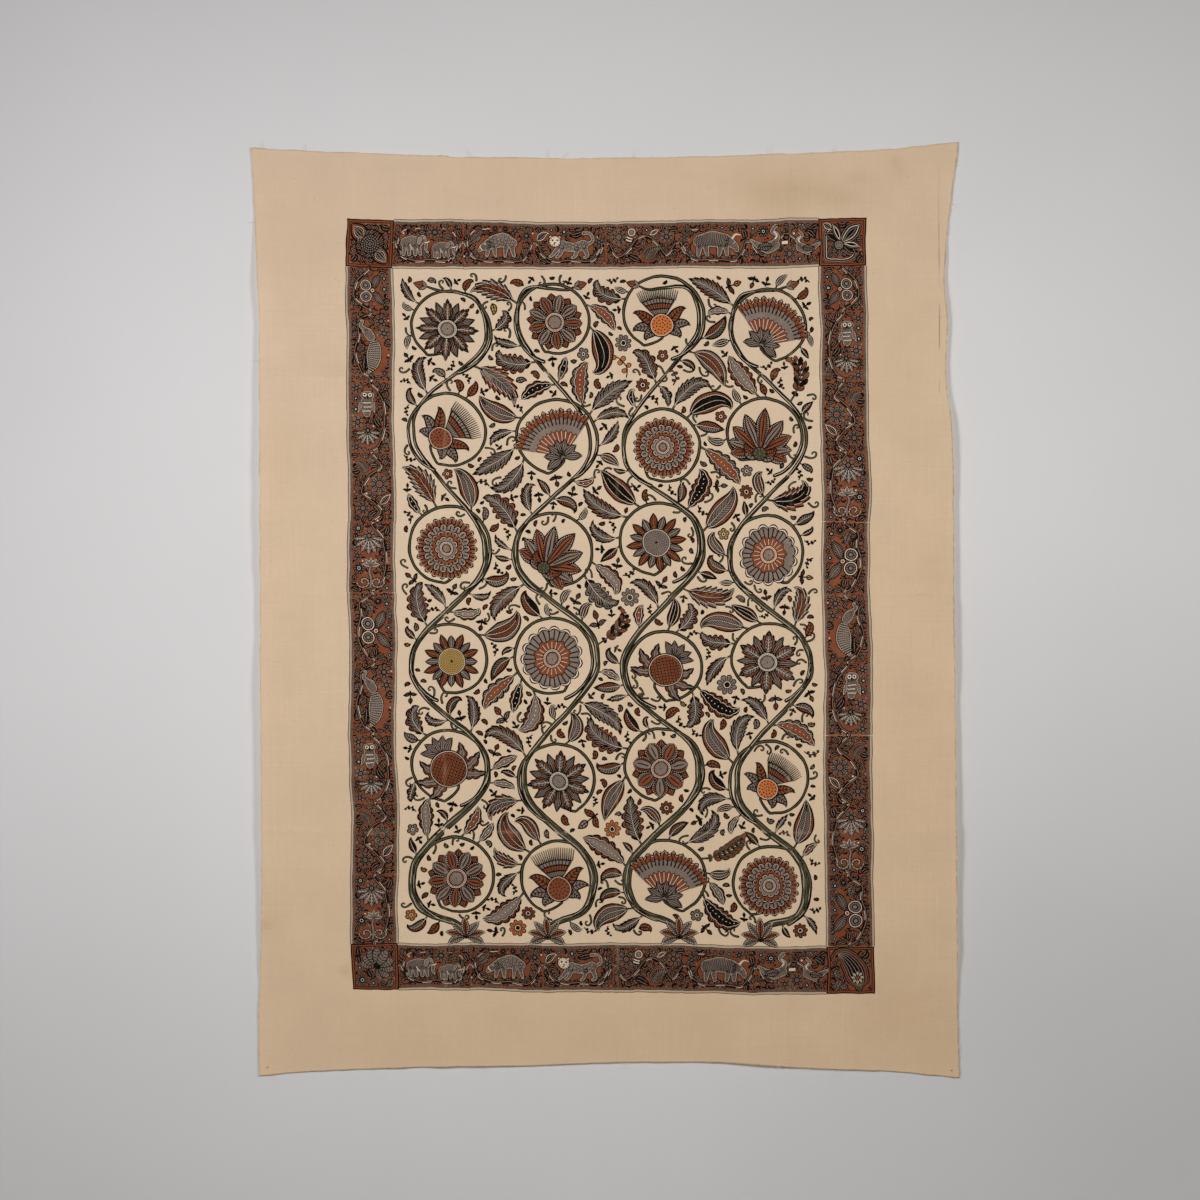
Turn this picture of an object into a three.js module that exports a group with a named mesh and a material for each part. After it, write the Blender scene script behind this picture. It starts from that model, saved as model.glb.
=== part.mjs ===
// Kalamkari panel: one piece of printed cotton with raw edges, held against a wall by its corners.
// Sizes are millimetres. X runs to the viewer's right, Z up, and the printed face looks along -Y.
// The origin is the middle of the top edge, where the back of the cloth touches the wall plane y = 0.

import * as THREE from 'three';

const CLOTH_THICKNESS = 1.2;
const TOP_CORNER_SPAN = 1202;
const CORNER_TO_CORNER_DROP = 1579;
const TOP_CORNERS_ABOVE_ORIGIN = 17;

const GRID_STEP = 38;
const LEAST_CELL = 8.5;
const HELD_PATCH = 44;
const HOLD_RADIUS = 64;
const HOLD_FADE = 240;

const EDGE_CURL_REACH = 95;
const BODY_LIFT = 3.2;
const BODY_LIFT_REACH = 120;
const LEAST_LIFT = 0.5;

// The raw side edges, from the top corners down. left and right are distances from the panel's
// middle line, and leftLift and rightLift say how far each edge curls away from the wall.
const SIDE_EDGES = [
  { drop: 0, left: -601, right: 601, leftLift: 0, rightLift: 0 },
  { drop: 88, left: -596, right: 589, leftLift: 6, rightLift: 3 },
  { drop: 216, left: -589, right: 577, leftLift: 11, rightLift: 5 },
  { drop: 300, left: -586, right: 582, leftLift: 8, rightLift: 7 },
  { drop: 386, left: -586, right: 579, leftLift: 9, rightLift: 6 },
  { drop: 471, left: -585, right: 588, leftLift: 12, rightLift: 12 },
  { drop: 641, left: -584, right: 592, leftLift: 13, rightLift: 10 },
  { drop: 800, left: -584, right: 592, leftLift: 9, rightLift: 13 },
  { drop: 938, left: -583, right: 595, leftLift: 12, rightLift: 9 },
  { drop: 1151, left: -582, right: 596, leftLift: 11, rightLift: 12 },
  { drop: 1278, left: -582, right: 598, leftLift: 7, rightLift: 9 },
  { drop: 1363, left: -584, right: 599, leftLift: 5, rightLift: 11 },
  { drop: 1491, left: -588, right: 601, leftLift: 3, rightLift: 7 },
  { drop: 1579, left: -587, right: 604, leftLift: 0, rightLift: 0 },
];

// The raw top and bottom edges, from the left corner across. top and bottom are heights above the
// origin, and topLift and bottomLift say how far each edge curls away from the wall.
const LEVEL_EDGES = [
  { across: -601, top: 17, bottom: -1562, topLift: 0, bottomLift: 0 },
  { across: -509, top: 12, bottom: -1554, topLift: 1, bottomLift: 3 },
  { across: -382, top: 7, bottom: -1548, topLift: 2, bottomLift: 2 },
  { across: -254, top: 2, bottom: -1544, topLift: 1, bottomLift: 4 },
  { across: -127, top: 0, bottom: -1543, topLift: 1, bottomLift: 2 },
  { across: 0, top: 0, bottom: -1538, topLift: 0, bottomLift: 3 },
  { across: 171, top: 2, bottom: -1537, topLift: 1, bottomLift: 2 },
  { across: 256, top: 5, bottom: -1540, topLift: 2, bottomLift: 5 },
  { across: 341, top: 8, bottom: -1547, topLift: 1, bottomLift: 4 },
  { across: 468, top: 14, bottom: -1552, topLift: 2, bottomLift: 6 },
  { across: 553, top: 22, bottom: -1559, topLift: 1, bottomLift: 4 },
  { across: 601, top: 27, bottom: -1564, topLift: 0, bottomLift: 0 },
];

// Where the back lies flat on the wall.
const HELD_POINTS = [
  { x: -579, z: -5 },
  { x: 0, z: -22 },
  { x: 575, z: 3 },
  { x: -566, z: -1538 },
  { x: 582, z: -1541 },
];

// Old packing folds that run right across or right down the cloth. A negative height sinks in.
const PACKING_FOLDS = [
  { runs: 'down', at: -271, height: 1.5, width: 15 },
  { runs: 'down', at: 21, height: -1.3, width: 13 },
  { runs: 'down', at: 315, height: 1.7, width: 15 },
  { runs: 'across', at: -369, height: 1.3, width: 14 },
  { runs: 'across', at: -746, height: -1.4, width: 14 },
  { runs: 'across', at: -1146, height: 1.6, width: 15 },
];

// Soft ripples, each a ridge from one point to another. A negative height is a trough.
const RIPPLES = [
  { fromX: 520, fromZ: 10, toX: 470, toZ: -150, height: 2.2, width: 34 },
  { fromX: 566, fromZ: -90, toX: 560, toZ: -380, height: 2.0, width: 16 },
  { fromX: -560, fromZ: -60, toX: -470, toZ: -230, height: 2.4, width: 36 },
  { fromX: -540, fromZ: -330, toX: -420, toZ: -420, height: 2.0, width: 40 },
  { fromX: -500, fromZ: -560, toX: -250, toZ: -520, height: 1.8, width: 55 },
  { fromX: 560, fromZ: -500, toX: 330, toZ: -610, height: 2.0, width: 50 },
  { fromX: 590, fromZ: -860, toX: 400, toZ: -900, height: 2.2, width: 42 },
  { fromX: -570, fromZ: -900, toX: -360, toZ: -980, height: 2.1, width: 46 },
  { fromX: -90, fromZ: -930, toX: 160, toZ: -1010, height: 1.6, width: 60 },
  { fromX: 590, fromZ: -1180, toX: 480, toZ: -1330, height: 2.4, width: 40 },
  { fromX: 545, fromZ: -1420, toX: 572, toZ: -1556, height: 4.2, width: 20 },
  { fromX: 510, fromZ: -1450, toX: 522, toZ: -1556, height: -2.0, width: 18 },
  { fromX: -545, fromZ: -1300, toX: -480, toZ: -1530, height: 2.0, width: 34 },
  { fromX: -180, fromZ: -1430, toX: -200, toZ: -1545, height: 1.8, width: 30 },
  { fromX: 250, fromZ: -1440, toX: 270, toZ: -1545, height: 2.2, width: 28 },
  { fromX: -330, fromZ: 0, toX: -300, toZ: -130, height: 1.6, width: 32 },
  { fromX: 250, fromZ: 0, toX: 230, toZ: -120, height: 1.6, width: 30 },
];

const COTTON_COLOUR = 0xc9b197;
const COTTON_ROUGHNESS = 0.92;

// A smooth curve through one column of a table, read at one place of its key column.
function readTable(table, key, column, place) {
  const last = table.length - 1;
  const at = THREE.MathUtils.clamp(place, table[0][key], table[last][key]);
  let row = 0;
  while (row < last - 1 && at > table[row + 1][key]) row += 1;
  const slopeAt = (index) => {
    const before = table[Math.max(index - 1, 0)];
    const after = table[Math.min(index + 1, last)];
    return (after[column] - before[column]) / (after[key] - before[key]);
  };
  const start = table[row];
  const end = table[row + 1];
  const span = end[key] - start[key];
  const t = (at - start[key]) / span;
  const rise = t * t * (3 - 2 * t);
  const leave = t * (1 - t) * (1 - t) * span * slopeAt(row);
  const arrive = t * t * (1 - t) * span * slopeAt(row + 1);
  return start[column] * (1 - rise) + end[column] * rise + leave - arrive;
}

function dropOf(z) {
  return TOP_CORNERS_ABOVE_ORIGIN - z;
}

function hump(distance, width) {
  return Math.exp(-((distance / width) ** 2));
}

function distanceToSegment(x, z, ripple) {
  const alongX = ripple.toX - ripple.fromX;
  const alongZ = ripple.toZ - ripple.fromZ;
  const fromStart = (x - ripple.fromX) * alongX + (z - ripple.fromZ) * alongZ;
  const t = THREE.MathUtils.clamp(fromStart / (alongX ** 2 + alongZ ** 2), 0, 1);
  return Math.hypot(x - ripple.fromX - t * alongX, z - ripple.fromZ - t * alongZ);
}

function foldRelief(x, z) {
  let relief = 0;
  for (const fold of PACKING_FOLDS) {
    const distance = (fold.runs === 'down' ? x : z) - fold.at;
    relief += fold.height * hump(distance, fold.width);
  }
  for (const ripple of RIPPLES) {
    relief += ripple.height * hump(distanceToSegment(x, z, ripple), ripple.width);
  }
  return relief;
}

// How far the back of the cloth stands off the wall.
function liftAt(x, z) {
  const drop = dropOf(z);
  const side = (column) => readTable(SIDE_EDGES, 'drop', column, drop);
  const level = (column) => readTable(LEVEL_EDGES, 'across', column, x);
  const inward = [
    { distance: x - side('left'), lift: side('leftLift') },
    { distance: side('right') - x, lift: side('rightLift') },
    { distance: level('top') - z, lift: level('topLift') },
    { distance: z - level('bottom'), lift: level('bottomLift') },
  ];
  let lift = foldRelief(x, z);
  let fromEdge = Infinity;
  for (const edge of inward) {
    const distance = Math.max(edge.distance, 0);
    lift += edge.lift * Math.exp(-distance / EDGE_CURL_REACH);
    fromEdge = Math.min(fromEdge, distance);
  }
  lift += BODY_LIFT * (1 - Math.exp(-fromEdge / BODY_LIFT_REACH));
  let hold = 1;
  for (const point of HELD_POINTS) {
    const distance = Math.hypot(x - point.x, z - point.z);
    hold *= THREE.MathUtils.smoothstep(distance, HOLD_RADIUS, HOLD_FADE);
  }
  return Math.max(lift, LEAST_LIFT) * hold;
}

// Grid places from 0 to the length, evenly spaced but with one on each wanted line that is not
// too close to the line before it.
function gridPlaces(length, wanted) {
  const fixed = [0];
  for (const line of [...wanted, length].sort((a, b) => a - b)) {
    if (line - fixed[fixed.length - 1] > LEAST_CELL) fixed.push(line);
  }
  const places = [0];
  for (let index = 1; index < fixed.length; index += 1) {
    const gap = fixed[index] - fixed[index - 1];
    const cells = Math.max(1, Math.round(gap / GRID_STEP));
    for (let cell = 1; cell <= cells; cell += 1) {
      places.push(fixed[index - 1] + (gap * cell) / cells);
    }
  }
  return places;
}

// Grid lines on both feet and the ridge of each packing fold that runs one way.
function foldLines(runs, toGrid) {
  return PACKING_FOLDS.filter((fold) => fold.runs === runs).flatMap((fold) => [
    toGrid(fold.at) - fold.width,
    toGrid(fold.at),
    toGrid(fold.at) + fold.width,
  ]);
}

function clothGeometry() {
  const middle = TOP_CORNER_SPAN / 2;
  const acrossPlaces = gridPlaces(TOP_CORNER_SPAN, [
    HELD_PATCH,
    middle - HELD_PATCH,
    middle,
    middle + HELD_PATCH,
    TOP_CORNER_SPAN - HELD_PATCH,
    ...foldLines('down', (x) => x + middle),
  ]);
  const dropPlaces = gridPlaces(CORNER_TO_CORNER_DROP, [
    HELD_PATCH,
    CORNER_TO_CORNER_DROP - HELD_PATCH,
    ...foldLines('across', dropOf),
  ]);

  const columns = acrossPlaces.length;
  const rows = dropPlaces.length;
  const points = [];
  for (const depth of [CLOTH_THICKNESS, 0]) {
    for (const drop of dropPlaces) {
      const left = readTable(SIDE_EDGES, 'drop', 'left', drop);
      const right = readTable(SIDE_EDGES, 'drop', 'right', drop);
      for (const across of acrossPlaces) {
        const top = readTable(LEVEL_EDGES, 'across', 'top', across - middle);
        const bottom = readTable(LEVEL_EDGES, 'across', 'bottom', across - middle);
        const x = THREE.MathUtils.lerp(left, right, across / TOP_CORNER_SPAN);
        const z = THREE.MathUtils.lerp(top, bottom, drop / CORNER_TO_CORNER_DROP);
        points.push(x, -liftAt(x, z) - depth, z);
      }
    }
  }

  const front = (row, column) => row * columns + column;
  const back = (row, column) => rows * columns + front(row, column);
  const triangles = [];
  const quad = (a, b, c, d) => triangles.push(a, b, c, a, c, d);
  for (let row = 0; row < rows - 1; row += 1) {
    for (let column = 0; column < columns - 1; column += 1) {
      quad(front(row, column), front(row + 1, column), front(row + 1, column + 1), front(row, column + 1));
      quad(back(row, column), back(row, column + 1), back(row + 1, column + 1), back(row + 1, column));
    }
  }
  for (let row = 0; row < rows - 1; row += 1) {
    const end = columns - 1;
    quad(front(row, 0), back(row, 0), back(row + 1, 0), front(row + 1, 0));
    quad(front(row, end), front(row + 1, end), back(row + 1, end), back(row, end));
  }
  for (let column = 0; column < columns - 1; column += 1) {
    const end = rows - 1;
    quad(front(0, column), front(0, column + 1), back(0, column + 1), back(0, column));
    quad(front(end, column), back(end, column), back(end, column + 1), front(end, column + 1));
  }

  const geometry = new THREE.BufferGeometry();
  geometry.setAttribute('position', new THREE.Float32BufferAttribute(points, 3));
  geometry.setIndex(triangles);
  geometry.computeVertexNormals();
  return geometry;
}

function makeCloth() {
  const cotton = new THREE.MeshStandardMaterial({
    color: COTTON_COLOUR,
    roughness: COTTON_ROUGHNESS,
    metalness: 0,
  });
  const cloth = new THREE.Mesh(clothGeometry(), cotton);
  cloth.name = 'cloth';
  return cloth;
}

const panel = new THREE.Group();
panel.add(makeCloth());

export default panel;
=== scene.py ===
import functools
import math

import bpy
import numpy as np
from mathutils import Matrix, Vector


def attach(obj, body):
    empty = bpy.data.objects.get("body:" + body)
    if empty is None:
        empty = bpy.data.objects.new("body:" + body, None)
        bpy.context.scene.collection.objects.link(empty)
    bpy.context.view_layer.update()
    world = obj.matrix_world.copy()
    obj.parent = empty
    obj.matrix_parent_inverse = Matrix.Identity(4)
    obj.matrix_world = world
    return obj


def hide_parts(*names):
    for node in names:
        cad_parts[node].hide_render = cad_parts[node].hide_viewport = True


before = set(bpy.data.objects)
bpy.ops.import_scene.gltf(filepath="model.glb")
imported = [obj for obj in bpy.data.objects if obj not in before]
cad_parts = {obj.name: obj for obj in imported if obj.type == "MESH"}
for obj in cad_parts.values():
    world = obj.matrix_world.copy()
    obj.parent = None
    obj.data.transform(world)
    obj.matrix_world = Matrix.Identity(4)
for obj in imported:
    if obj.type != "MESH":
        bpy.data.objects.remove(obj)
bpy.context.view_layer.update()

# Every size below is in millimetres until a mesh is made. x runs to the viewer's right and z up, from
# the middle of the cloth's top edge, and lift is the distance from the wall towards the viewer.
MM = 0.001
TAU = 2 * math.pi

# The cloth as it hangs.
CORNER_TO_CORNER_DROP = 1579
TOP_CORNERS_ABOVE_ORIGIN = 17
HOLD_RADIUS = 64
HOLD_FADE = 240
EDGE_CURL_REACH = 95
BODY_LIFT = 3.2
BODY_LIFT_REACH = 120
LEAST_LIFT = 0.5

# The raw side edges by their drop from the top corners, and how far each curls off the wall.
SIDE_EDGES = dict(
    drop=[0, 88, 216, 300, 386, 471, 641, 800, 938, 1151, 1278, 1363, 1491, 1579],
    left=[-601, -596, -589, -586, -586, -585, -584, -584, -583, -582, -582, -584, -588, -587],
    right=[601, 589, 577, 582, 579, 588, 592, 592, 595, 596, 598, 599, 601, 604],
    left_lift=[0, 6, 11, 8, 9, 12, 13, 9, 12, 11, 7, 5, 3, 0],
    right_lift=[0, 3, 5, 7, 6, 12, 10, 13, 9, 12, 9, 11, 7, 0],
)
# The raw top and bottom edges from the left corner across, and how far each curls off the wall.
LEVEL_EDGES = dict(
    across=[-601, -509, -382, -254, -127, 0, 171, 256, 341, 468, 553, 601],
    top=[17, 12, 7, 2, 0, 0, 2, 5, 8, 14, 22, 27],
    bottom=[-1562, -1554, -1548, -1544, -1543, -1538, -1537, -1540, -1547, -1552, -1559, -1564],
    top_lift=[0, 1, 2, 1, 1, 0, 1, 2, 1, 2, 1, 0],
    bottom_lift=[0, 3, 2, 4, 2, 3, 2, 5, 4, 6, 4, 0],
)
# Where the back lies flat on the wall: x, z.
HELD_POINTS = [(-579, -5), (0, -22), (575, 3), (-566, -1538), (582, -1541)]
# Old packing folds that run the whole way: axis, place, height, width. A negative height sinks in.
PACKING_FOLDS = [
    ("down", -271, 1.5, 15),
    ("down", 21, -1.3, 13),
    ("down", 315, 1.7, 15),
    ("across", -369, 1.3, 14),
    ("across", -746, -1.4, 14),
    ("across", -1146, 1.6, 15),
]
# Soft ripples: from x, from z, to x, to z, height, width. A negative height is a trough.
RIPPLES = [
    (520, 10, 470, -150, 2.2, 34),
    (566, -90, 560, -380, 2.0, 16),
    (-560, -60, -470, -230, 2.4, 36),
    (-540, -330, -420, -420, 2.0, 40),
    (-500, -560, -250, -520, 1.8, 55),
    (560, -500, 330, -610, 2.0, 50),
    (590, -860, 400, -900, 2.2, 42),
    (-570, -900, -360, -980, 2.1, 46),
    (-90, -930, 160, -1010, 1.6, 60),
    (590, -1180, 480, -1330, 2.4, 40),
    (545, -1420, 572, -1556, 4.2, 20),
    (510, -1450, 522, -1556, -2.0, 18),
    (-545, -1300, -480, -1530, 2.0, 34),
    (-180, -1430, -200, -1545, 1.8, 30),
    (250, -1440, 270, -1545, 2.2, 28),
    (-330, 0, -300, -130, 1.6, 32),
    (250, 0, 230, -120, 1.6, 30),
]


def read_table(table, key, column, at):
    """The smooth curve through one column of a table, read at many places of its key."""
    keys, values = np.array(table[key], float), np.array(table[column], float)
    at = np.clip(at, keys[0], keys[-1])
    row = np.clip(np.searchsorted(keys, at) - 1, 0, len(keys) - 2)
    rows = np.arange(len(keys))
    before, after = np.maximum(rows - 1, 0), np.minimum(rows + 1, len(keys) - 1)
    slopes = (values[after] - values[before]) / (keys[after] - keys[before])
    span = keys[row + 1] - keys[row]
    t = (at - keys[row]) / span
    rise = t * t * (3 - 2 * t)
    leave = t * (1 - t) ** 2 * span * slopes[row]
    arrive = t * t * (1 - t) * span * slopes[row + 1]
    return values[row] * (1 - rise) + values[row + 1] * rise + leave - arrive


def smoothstep(value, low, high):
    t = np.clip((value - low) / (high - low), 0, 1)
    return t * t * (3 - 2 * t)


def edge_distances(x, z):
    """How far points lie inside the left, right, top and bottom edges."""
    drop = TOP_CORNERS_ABOVE_ORIGIN - z
    return (
        x - read_table(SIDE_EDGES, "drop", "left", drop),
        read_table(SIDE_EDGES, "drop", "right", drop) - x,
        read_table(LEVEL_EDGES, "across", "top", x) - z,
        z - read_table(LEVEL_EDGES, "across", "bottom", x),
    )


def lift_at(x, z):
    """How far the back of the cloth stands off the wall."""
    lift = np.zeros_like(x)
    for runs, place, height, width in PACKING_FOLDS:
        lift += height * np.exp(-((((x if runs == "down" else z) - place) / width) ** 2))
    for from_x, from_z, to_x, to_z, height, width in RIPPLES:
        along_x, along_z = to_x - from_x, to_z - from_z
        t = np.clip(((x - from_x) * along_x + (z - from_z) * along_z) / (along_x**2 + along_z**2), 0, 1)
        away = np.hypot(x - from_x - t * along_x, z - from_z - t * along_z)
        lift += height * np.exp(-((away / width) ** 2))
    drop = TOP_CORNERS_ABOVE_ORIGIN - z
    distances = [np.maximum(d, 0) for d in edge_distances(x, z)]
    edge_lifts = (
        read_table(SIDE_EDGES, "drop", "left_lift", drop),
        read_table(SIDE_EDGES, "drop", "right_lift", drop),
        read_table(LEVEL_EDGES, "across", "top_lift", x),
        read_table(LEVEL_EDGES, "across", "bottom_lift", x),
    )
    for distance, edge_lift in zip(distances, edge_lifts):
        lift += edge_lift * np.exp(-distance / EDGE_CURL_REACH)
    lift += BODY_LIFT * (1 - np.exp(-np.minimum.reduce(distances) / BODY_LIFT_REACH))
    hold = np.ones_like(x)
    for held_x, held_z in HELD_POINTS:
        hold *= smoothstep(np.hypot(x - held_x, z - held_z), HOLD_RADIUS, HOLD_FADE)
    return np.maximum(lift, LEAST_LIFT) * hold


# The print lies on the cloth's face in thin films, each a level above the one below it.
BACK_STANDS_OFF = 0.3
FACE_STANDS_OFF = 0.9
FIRST_FILM = 0.18
FILM_STEP = 0.07

# The print is drawn flat about its own middle, x to the right and y up, and laid on the cloth by its
# four corners, which the hand block didn't set quite square.
PRINT_HALF_WIDTH = 443
PRINT_HALF_HEIGHT = 656
PRINT_TOP_LEFT = (-439.5, -103.7)
PRINT_TOP_RIGHT = (444.6, -103.7)
PRINT_BOTTOM_LEFT = (-429.3, -1414.4)
PRINT_BOTTOM_RIGHT = (458.2, -1419.5)
PRINT_TOP_SAG = 5.0
# Unsteadiness of the hand: wavelength and size of the drift of a line.
HAND_DRIFTS = [(260, 1.5), (90, 0.7), (34, 0.35), (15, 0.22)]

BORDER_WIDTH = 81.5
CORNER_SIDE = 80.0
FIELD_HALF_WIDTH = PRINT_HALF_WIDTH - BORDER_WIDTH
FIELD_HALF_HEIGHT = PRINT_HALF_HEIGHT - BORDER_WIDTH


def drift(points, wavelength, size, seed):
    """A smooth sideways drift that has no direction of its own."""
    rng = np.random.default_rng(seed)
    moved = np.zeros_like(points)
    for _ in range(5):
        heading = rng.uniform(0, TAU)
        wave = TAU / (wavelength * rng.uniform(0.7, 1.4))
        phase = rng.uniform(0, TAU, 2)
        along = (points[:, 0] * math.cos(heading) + points[:, 1] * math.sin(heading)) * wave
        moved += np.stack([np.sin(along + phase[0]), np.sin(along + phase[1])], 1)
    return moved * size / math.sqrt(5)


def print_to_cloth(points):
    """Print places to places on the cloth."""
    points = points + sum(drift(points, *d, seed=7 + i) for i, d in enumerate(HAND_DRIFTS))
    s = ((points[:, 0] + PRINT_HALF_WIDTH) / (2 * PRINT_HALF_WIDTH))[:, None]
    t = ((PRINT_HALF_HEIGHT - points[:, 1]) / (2 * PRINT_HALF_HEIGHT))[:, None]
    top = np.array(PRINT_TOP_LEFT) * (1 - s) + np.array(PRINT_TOP_RIGHT) * s
    bottom = np.array(PRINT_BOTTOM_LEFT) * (1 - s) + np.array(PRINT_BOTTOM_RIGHT) * s
    laid = top * (1 - t) + bottom * t
    laid[:, 1] -= (4 * s * (1 - s) * (1 - t))[:, 0] * PRINT_TOP_SAG
    return laid


def mesh_object(name, points, faces, material, smooth=True):
    """A mesh from metres and index lists."""
    mesh = bpy.data.meshes.new(name)
    points = np.asarray(points, np.float32)
    faces = np.asarray(faces, np.int32)
    mesh.vertices.add(len(points))
    mesh.vertices.foreach_set("co", points.ravel())
    mesh.loops.add(faces.size)
    mesh.loops.foreach_set("vertex_index", faces.ravel())
    mesh.polygons.add(len(faces))
    mesh.polygons.foreach_set("loop_start", np.arange(len(faces), dtype=np.int32) * faces.shape[1])
    mesh.polygons.foreach_set("use_smooth", np.full(len(faces), smooth))
    mesh.update(calc_edges=True)
    mesh.materials.append(material)
    made = bpy.data.objects.new(name, mesh)
    bpy.context.scene.collection.objects.link(made)
    return made


@functools.cache
def grid_faces(rows, columns):
    """Triangles of a grid of points, row by row."""
    corner = (np.arange(rows - 1)[:, None] * columns + np.arange(columns - 1)).ravel()
    first = np.stack([corner, corner + 1, corner + columns + 1], 1)
    second = np.stack([corner, corner + columns + 1, corner + columns], 1)
    return np.concatenate([first, second])


# Drawing with dye.

# The four main dyes.
DARK, GREY, PALE, RUST = "charcoal", "taupe", "cream", "rust"

# The longest step of a film's mesh, and a ladder too thin to draw.
FILM_CELL = 7.5
LEAST_WIDTH = 0.05
# A round end: how far out each step lies and how wide it is, as shares of the half width.
ROUND_END_OUT = np.array([1.0, 0.92, 0.7, 0.38])
ROUND_END_WIDTH = np.array([0.0, 0.38, 0.7, 0.92])
# Where a leaf's edge is measured within each of its notches.
EDGE_STEPS = {"plain": [0.0, 0.5], "toothed": [0.0, 0.35, 0.7, 0.98], "lobed": [0.0, 0.25, 0.5, 0.75]}


class Pot:
    """All the shapes of one dye: their points on the print, their levels and their triangles."""

    def __init__(self):
        self.points, self.levels, self.faces, self.count = [], [], [], 0

    def add(self, points, level, faces):
        self.faces.append(faces + self.count)
        self.points.append(points)
        self.levels.append(np.broadcast_to(np.asarray(level, float), len(points)))
        self.count += len(points)


def sideways(along):
    """Directions turned a quarter to the right."""
    return np.stack([along[:, 1], -along[:, 0]], 1)


class Pen:
    """Draws in a frame of its own, which is placed, turned, scaled and stacked on the print."""

    def __init__(self, pots, matrix=None, origin=(0.0, 0.0), level=0):
        self.pots, self.level = pots, level
        self.matrix = np.eye(2) if matrix is None else matrix
        self.origin = np.asarray(origin, float)

    def at(self, x=0.0, y=0.0, turn=0.0, size=1.0, flip=False, up=0):
        """A pen moved to x, y, turned clockwise by turn, and up levels higher."""
        cos, sin = math.cos(turn) * size, math.sin(turn) * size
        step = np.array([[-cos if flip else cos, sin], [sin if flip else -sin, cos]])
        return Pen(self.pots, self.matrix @ step, self.place([(x, y)])[0], self.level + up)

    def around(self, count, out, offset=0.0, up=0):
        """Numbered pens set evenly round this one, each out from it and turned away from it."""
        for k in range(count):
            turn = (k + offset) * TAU / count
            yield k, self.at(math.sin(turn) * out, math.cos(turn) * out, turn, up=up)

    def place(self, points):
        return np.asarray(points, float) @ self.matrix.T + self.origin

    def add(self, dye, points, faces, up):
        self.pots.setdefault(dye, Pot()).add(self.place(points), self.level + up, faces)

    def ladder(self, dye, left, right, up=0):
        """The area between two lines of as many points each."""
        left, right = np.asarray(left, float), np.asarray(right, float)
        widest = np.hypot(*(right - left).T).max()
        if widest < LEAST_WIDTH:
            return
        columns = 2 + int(widest // FILM_CELL)
        t = np.linspace(0, 1, columns)[None, :, None]
        points = (left[:, None] * (1 - t) + right[:, None] * t).reshape(-1, 2)
        self.add(dye, points, grid_faces(len(left), columns), up)

    def disc(self, dye, outline, up=0, centre=(0.0, 0.0)):
        """The area inside a closed outline that is seen whole from its centre."""
        outline = np.asarray(outline, float)
        closed = np.concatenate([outline, outline[:1]])
        rings = 1 + int(np.hypot(*(outline - centre).T).max() // FILM_CELL)
        t = np.linspace(0, 1, rings + 1)[:, None, None]
        points = (np.asarray(centre) * (1 - t) + closed[None] * t).reshape(-1, 2)
        self.add(dye, points, grid_faces(rings + 1, len(closed)), up)

    def circle(self, dye, radius, up=0, x=0.0, y=0.0, sides=0):
        sides = sides or max(8, int(radius * 2.2) + 6)
        angles = np.arange(sides) * TAU / sides
        outline = np.stack([x + radius * np.sin(angles), y + radius * np.cos(angles)], 1)
        self.disc(dye, outline, up, (x, y))

    def rounds(self, up, *circles, x=0.0, y=0.0, sides=0):
        """Circles one on the other, a level up each time: each its dye and radius."""
        for step, (dye, radius) in enumerate(circles):
            self.circle(dye, radius, up + step, x, y, sides)

    def line(self, dye, points, width, up=0, blunt=False):
        """A stroke. width is one number, or one for each point. A blunt stroke has round ends."""
        points = np.asarray(points, float)
        half = np.broadcast_to(np.asarray(width, float) / 2, len(points))
        along = headings(points)
        if blunt:
            start = points[:1] - along[:1] * (half[0] * ROUND_END_OUT)[:, None]
            end = points[-1:] + along[-1:] * (half[-1] * ROUND_END_OUT[::-1])[:, None]
            points = np.concatenate([start, points, end])
            half = np.concatenate([half[0] * ROUND_END_WIDTH, half, half[-1] * ROUND_END_WIDTH[::-1]])
            more = len(ROUND_END_OUT)
            along = np.concatenate([np.repeat(along[:1], more, 0), along, np.repeat(along[-1:], more, 0)])
        across = sideways(along) * half[:, None]
        self.ladder(dye, points - across, points + across, up)

    def spikes(self, dye, starts, ends, wide, thin, up=0):
        """Many short straight strokes at once, each from wide to thin."""
        starts, ends = np.asarray(starts, float).reshape(-1, 2), np.asarray(ends, float).reshape(-1, 2)
        if not len(starts):
            return
        across = sideways(unit(ends - starts))
        corners = [starts - across * wide / 2, starts + across * wide / 2]
        corners += [ends + across * thin / 2, ends - across * thin / 2]
        points = np.stack(corners, 1).reshape(-1, 2)
        first = np.arange(len(starts))[:, None] * 4
        self.add(dye, points, np.concatenate([first + [0, 1, 2], first + [0, 2, 3]]), up)

    def dots(self, dye, centres, radius, up=0, sides=7):
        """Many small round spots at once."""
        centres = np.asarray(centres, float).reshape(-1, 2)
        if not len(centres):
            return
        angles = np.arange(sides) * TAU / sides
        ring = np.stack([np.sin(angles), np.cos(angles)], 1)
        radius = np.broadcast_to(np.asarray(radius, float), len(centres))
        points = (centres[:, None] + ring[None] * radius[:, None, None]).reshape(-1, 2)
        fan = np.array([(0, i, i + 1) for i in range(1, sides - 1)])
        faces = (np.arange(len(centres))[:, None, None] * sides + fan[None]).reshape(-1, 3)
        self.add(dye, points, faces, up)

    def look(self, x, y, white, pupil, up):
        """A small eye: a pale spot with a dark one on it."""
        self.dots(PALE, [(x, y)], white, up)
        self.dots(DARK, [(x, y)], pupil, up + 1)

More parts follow.
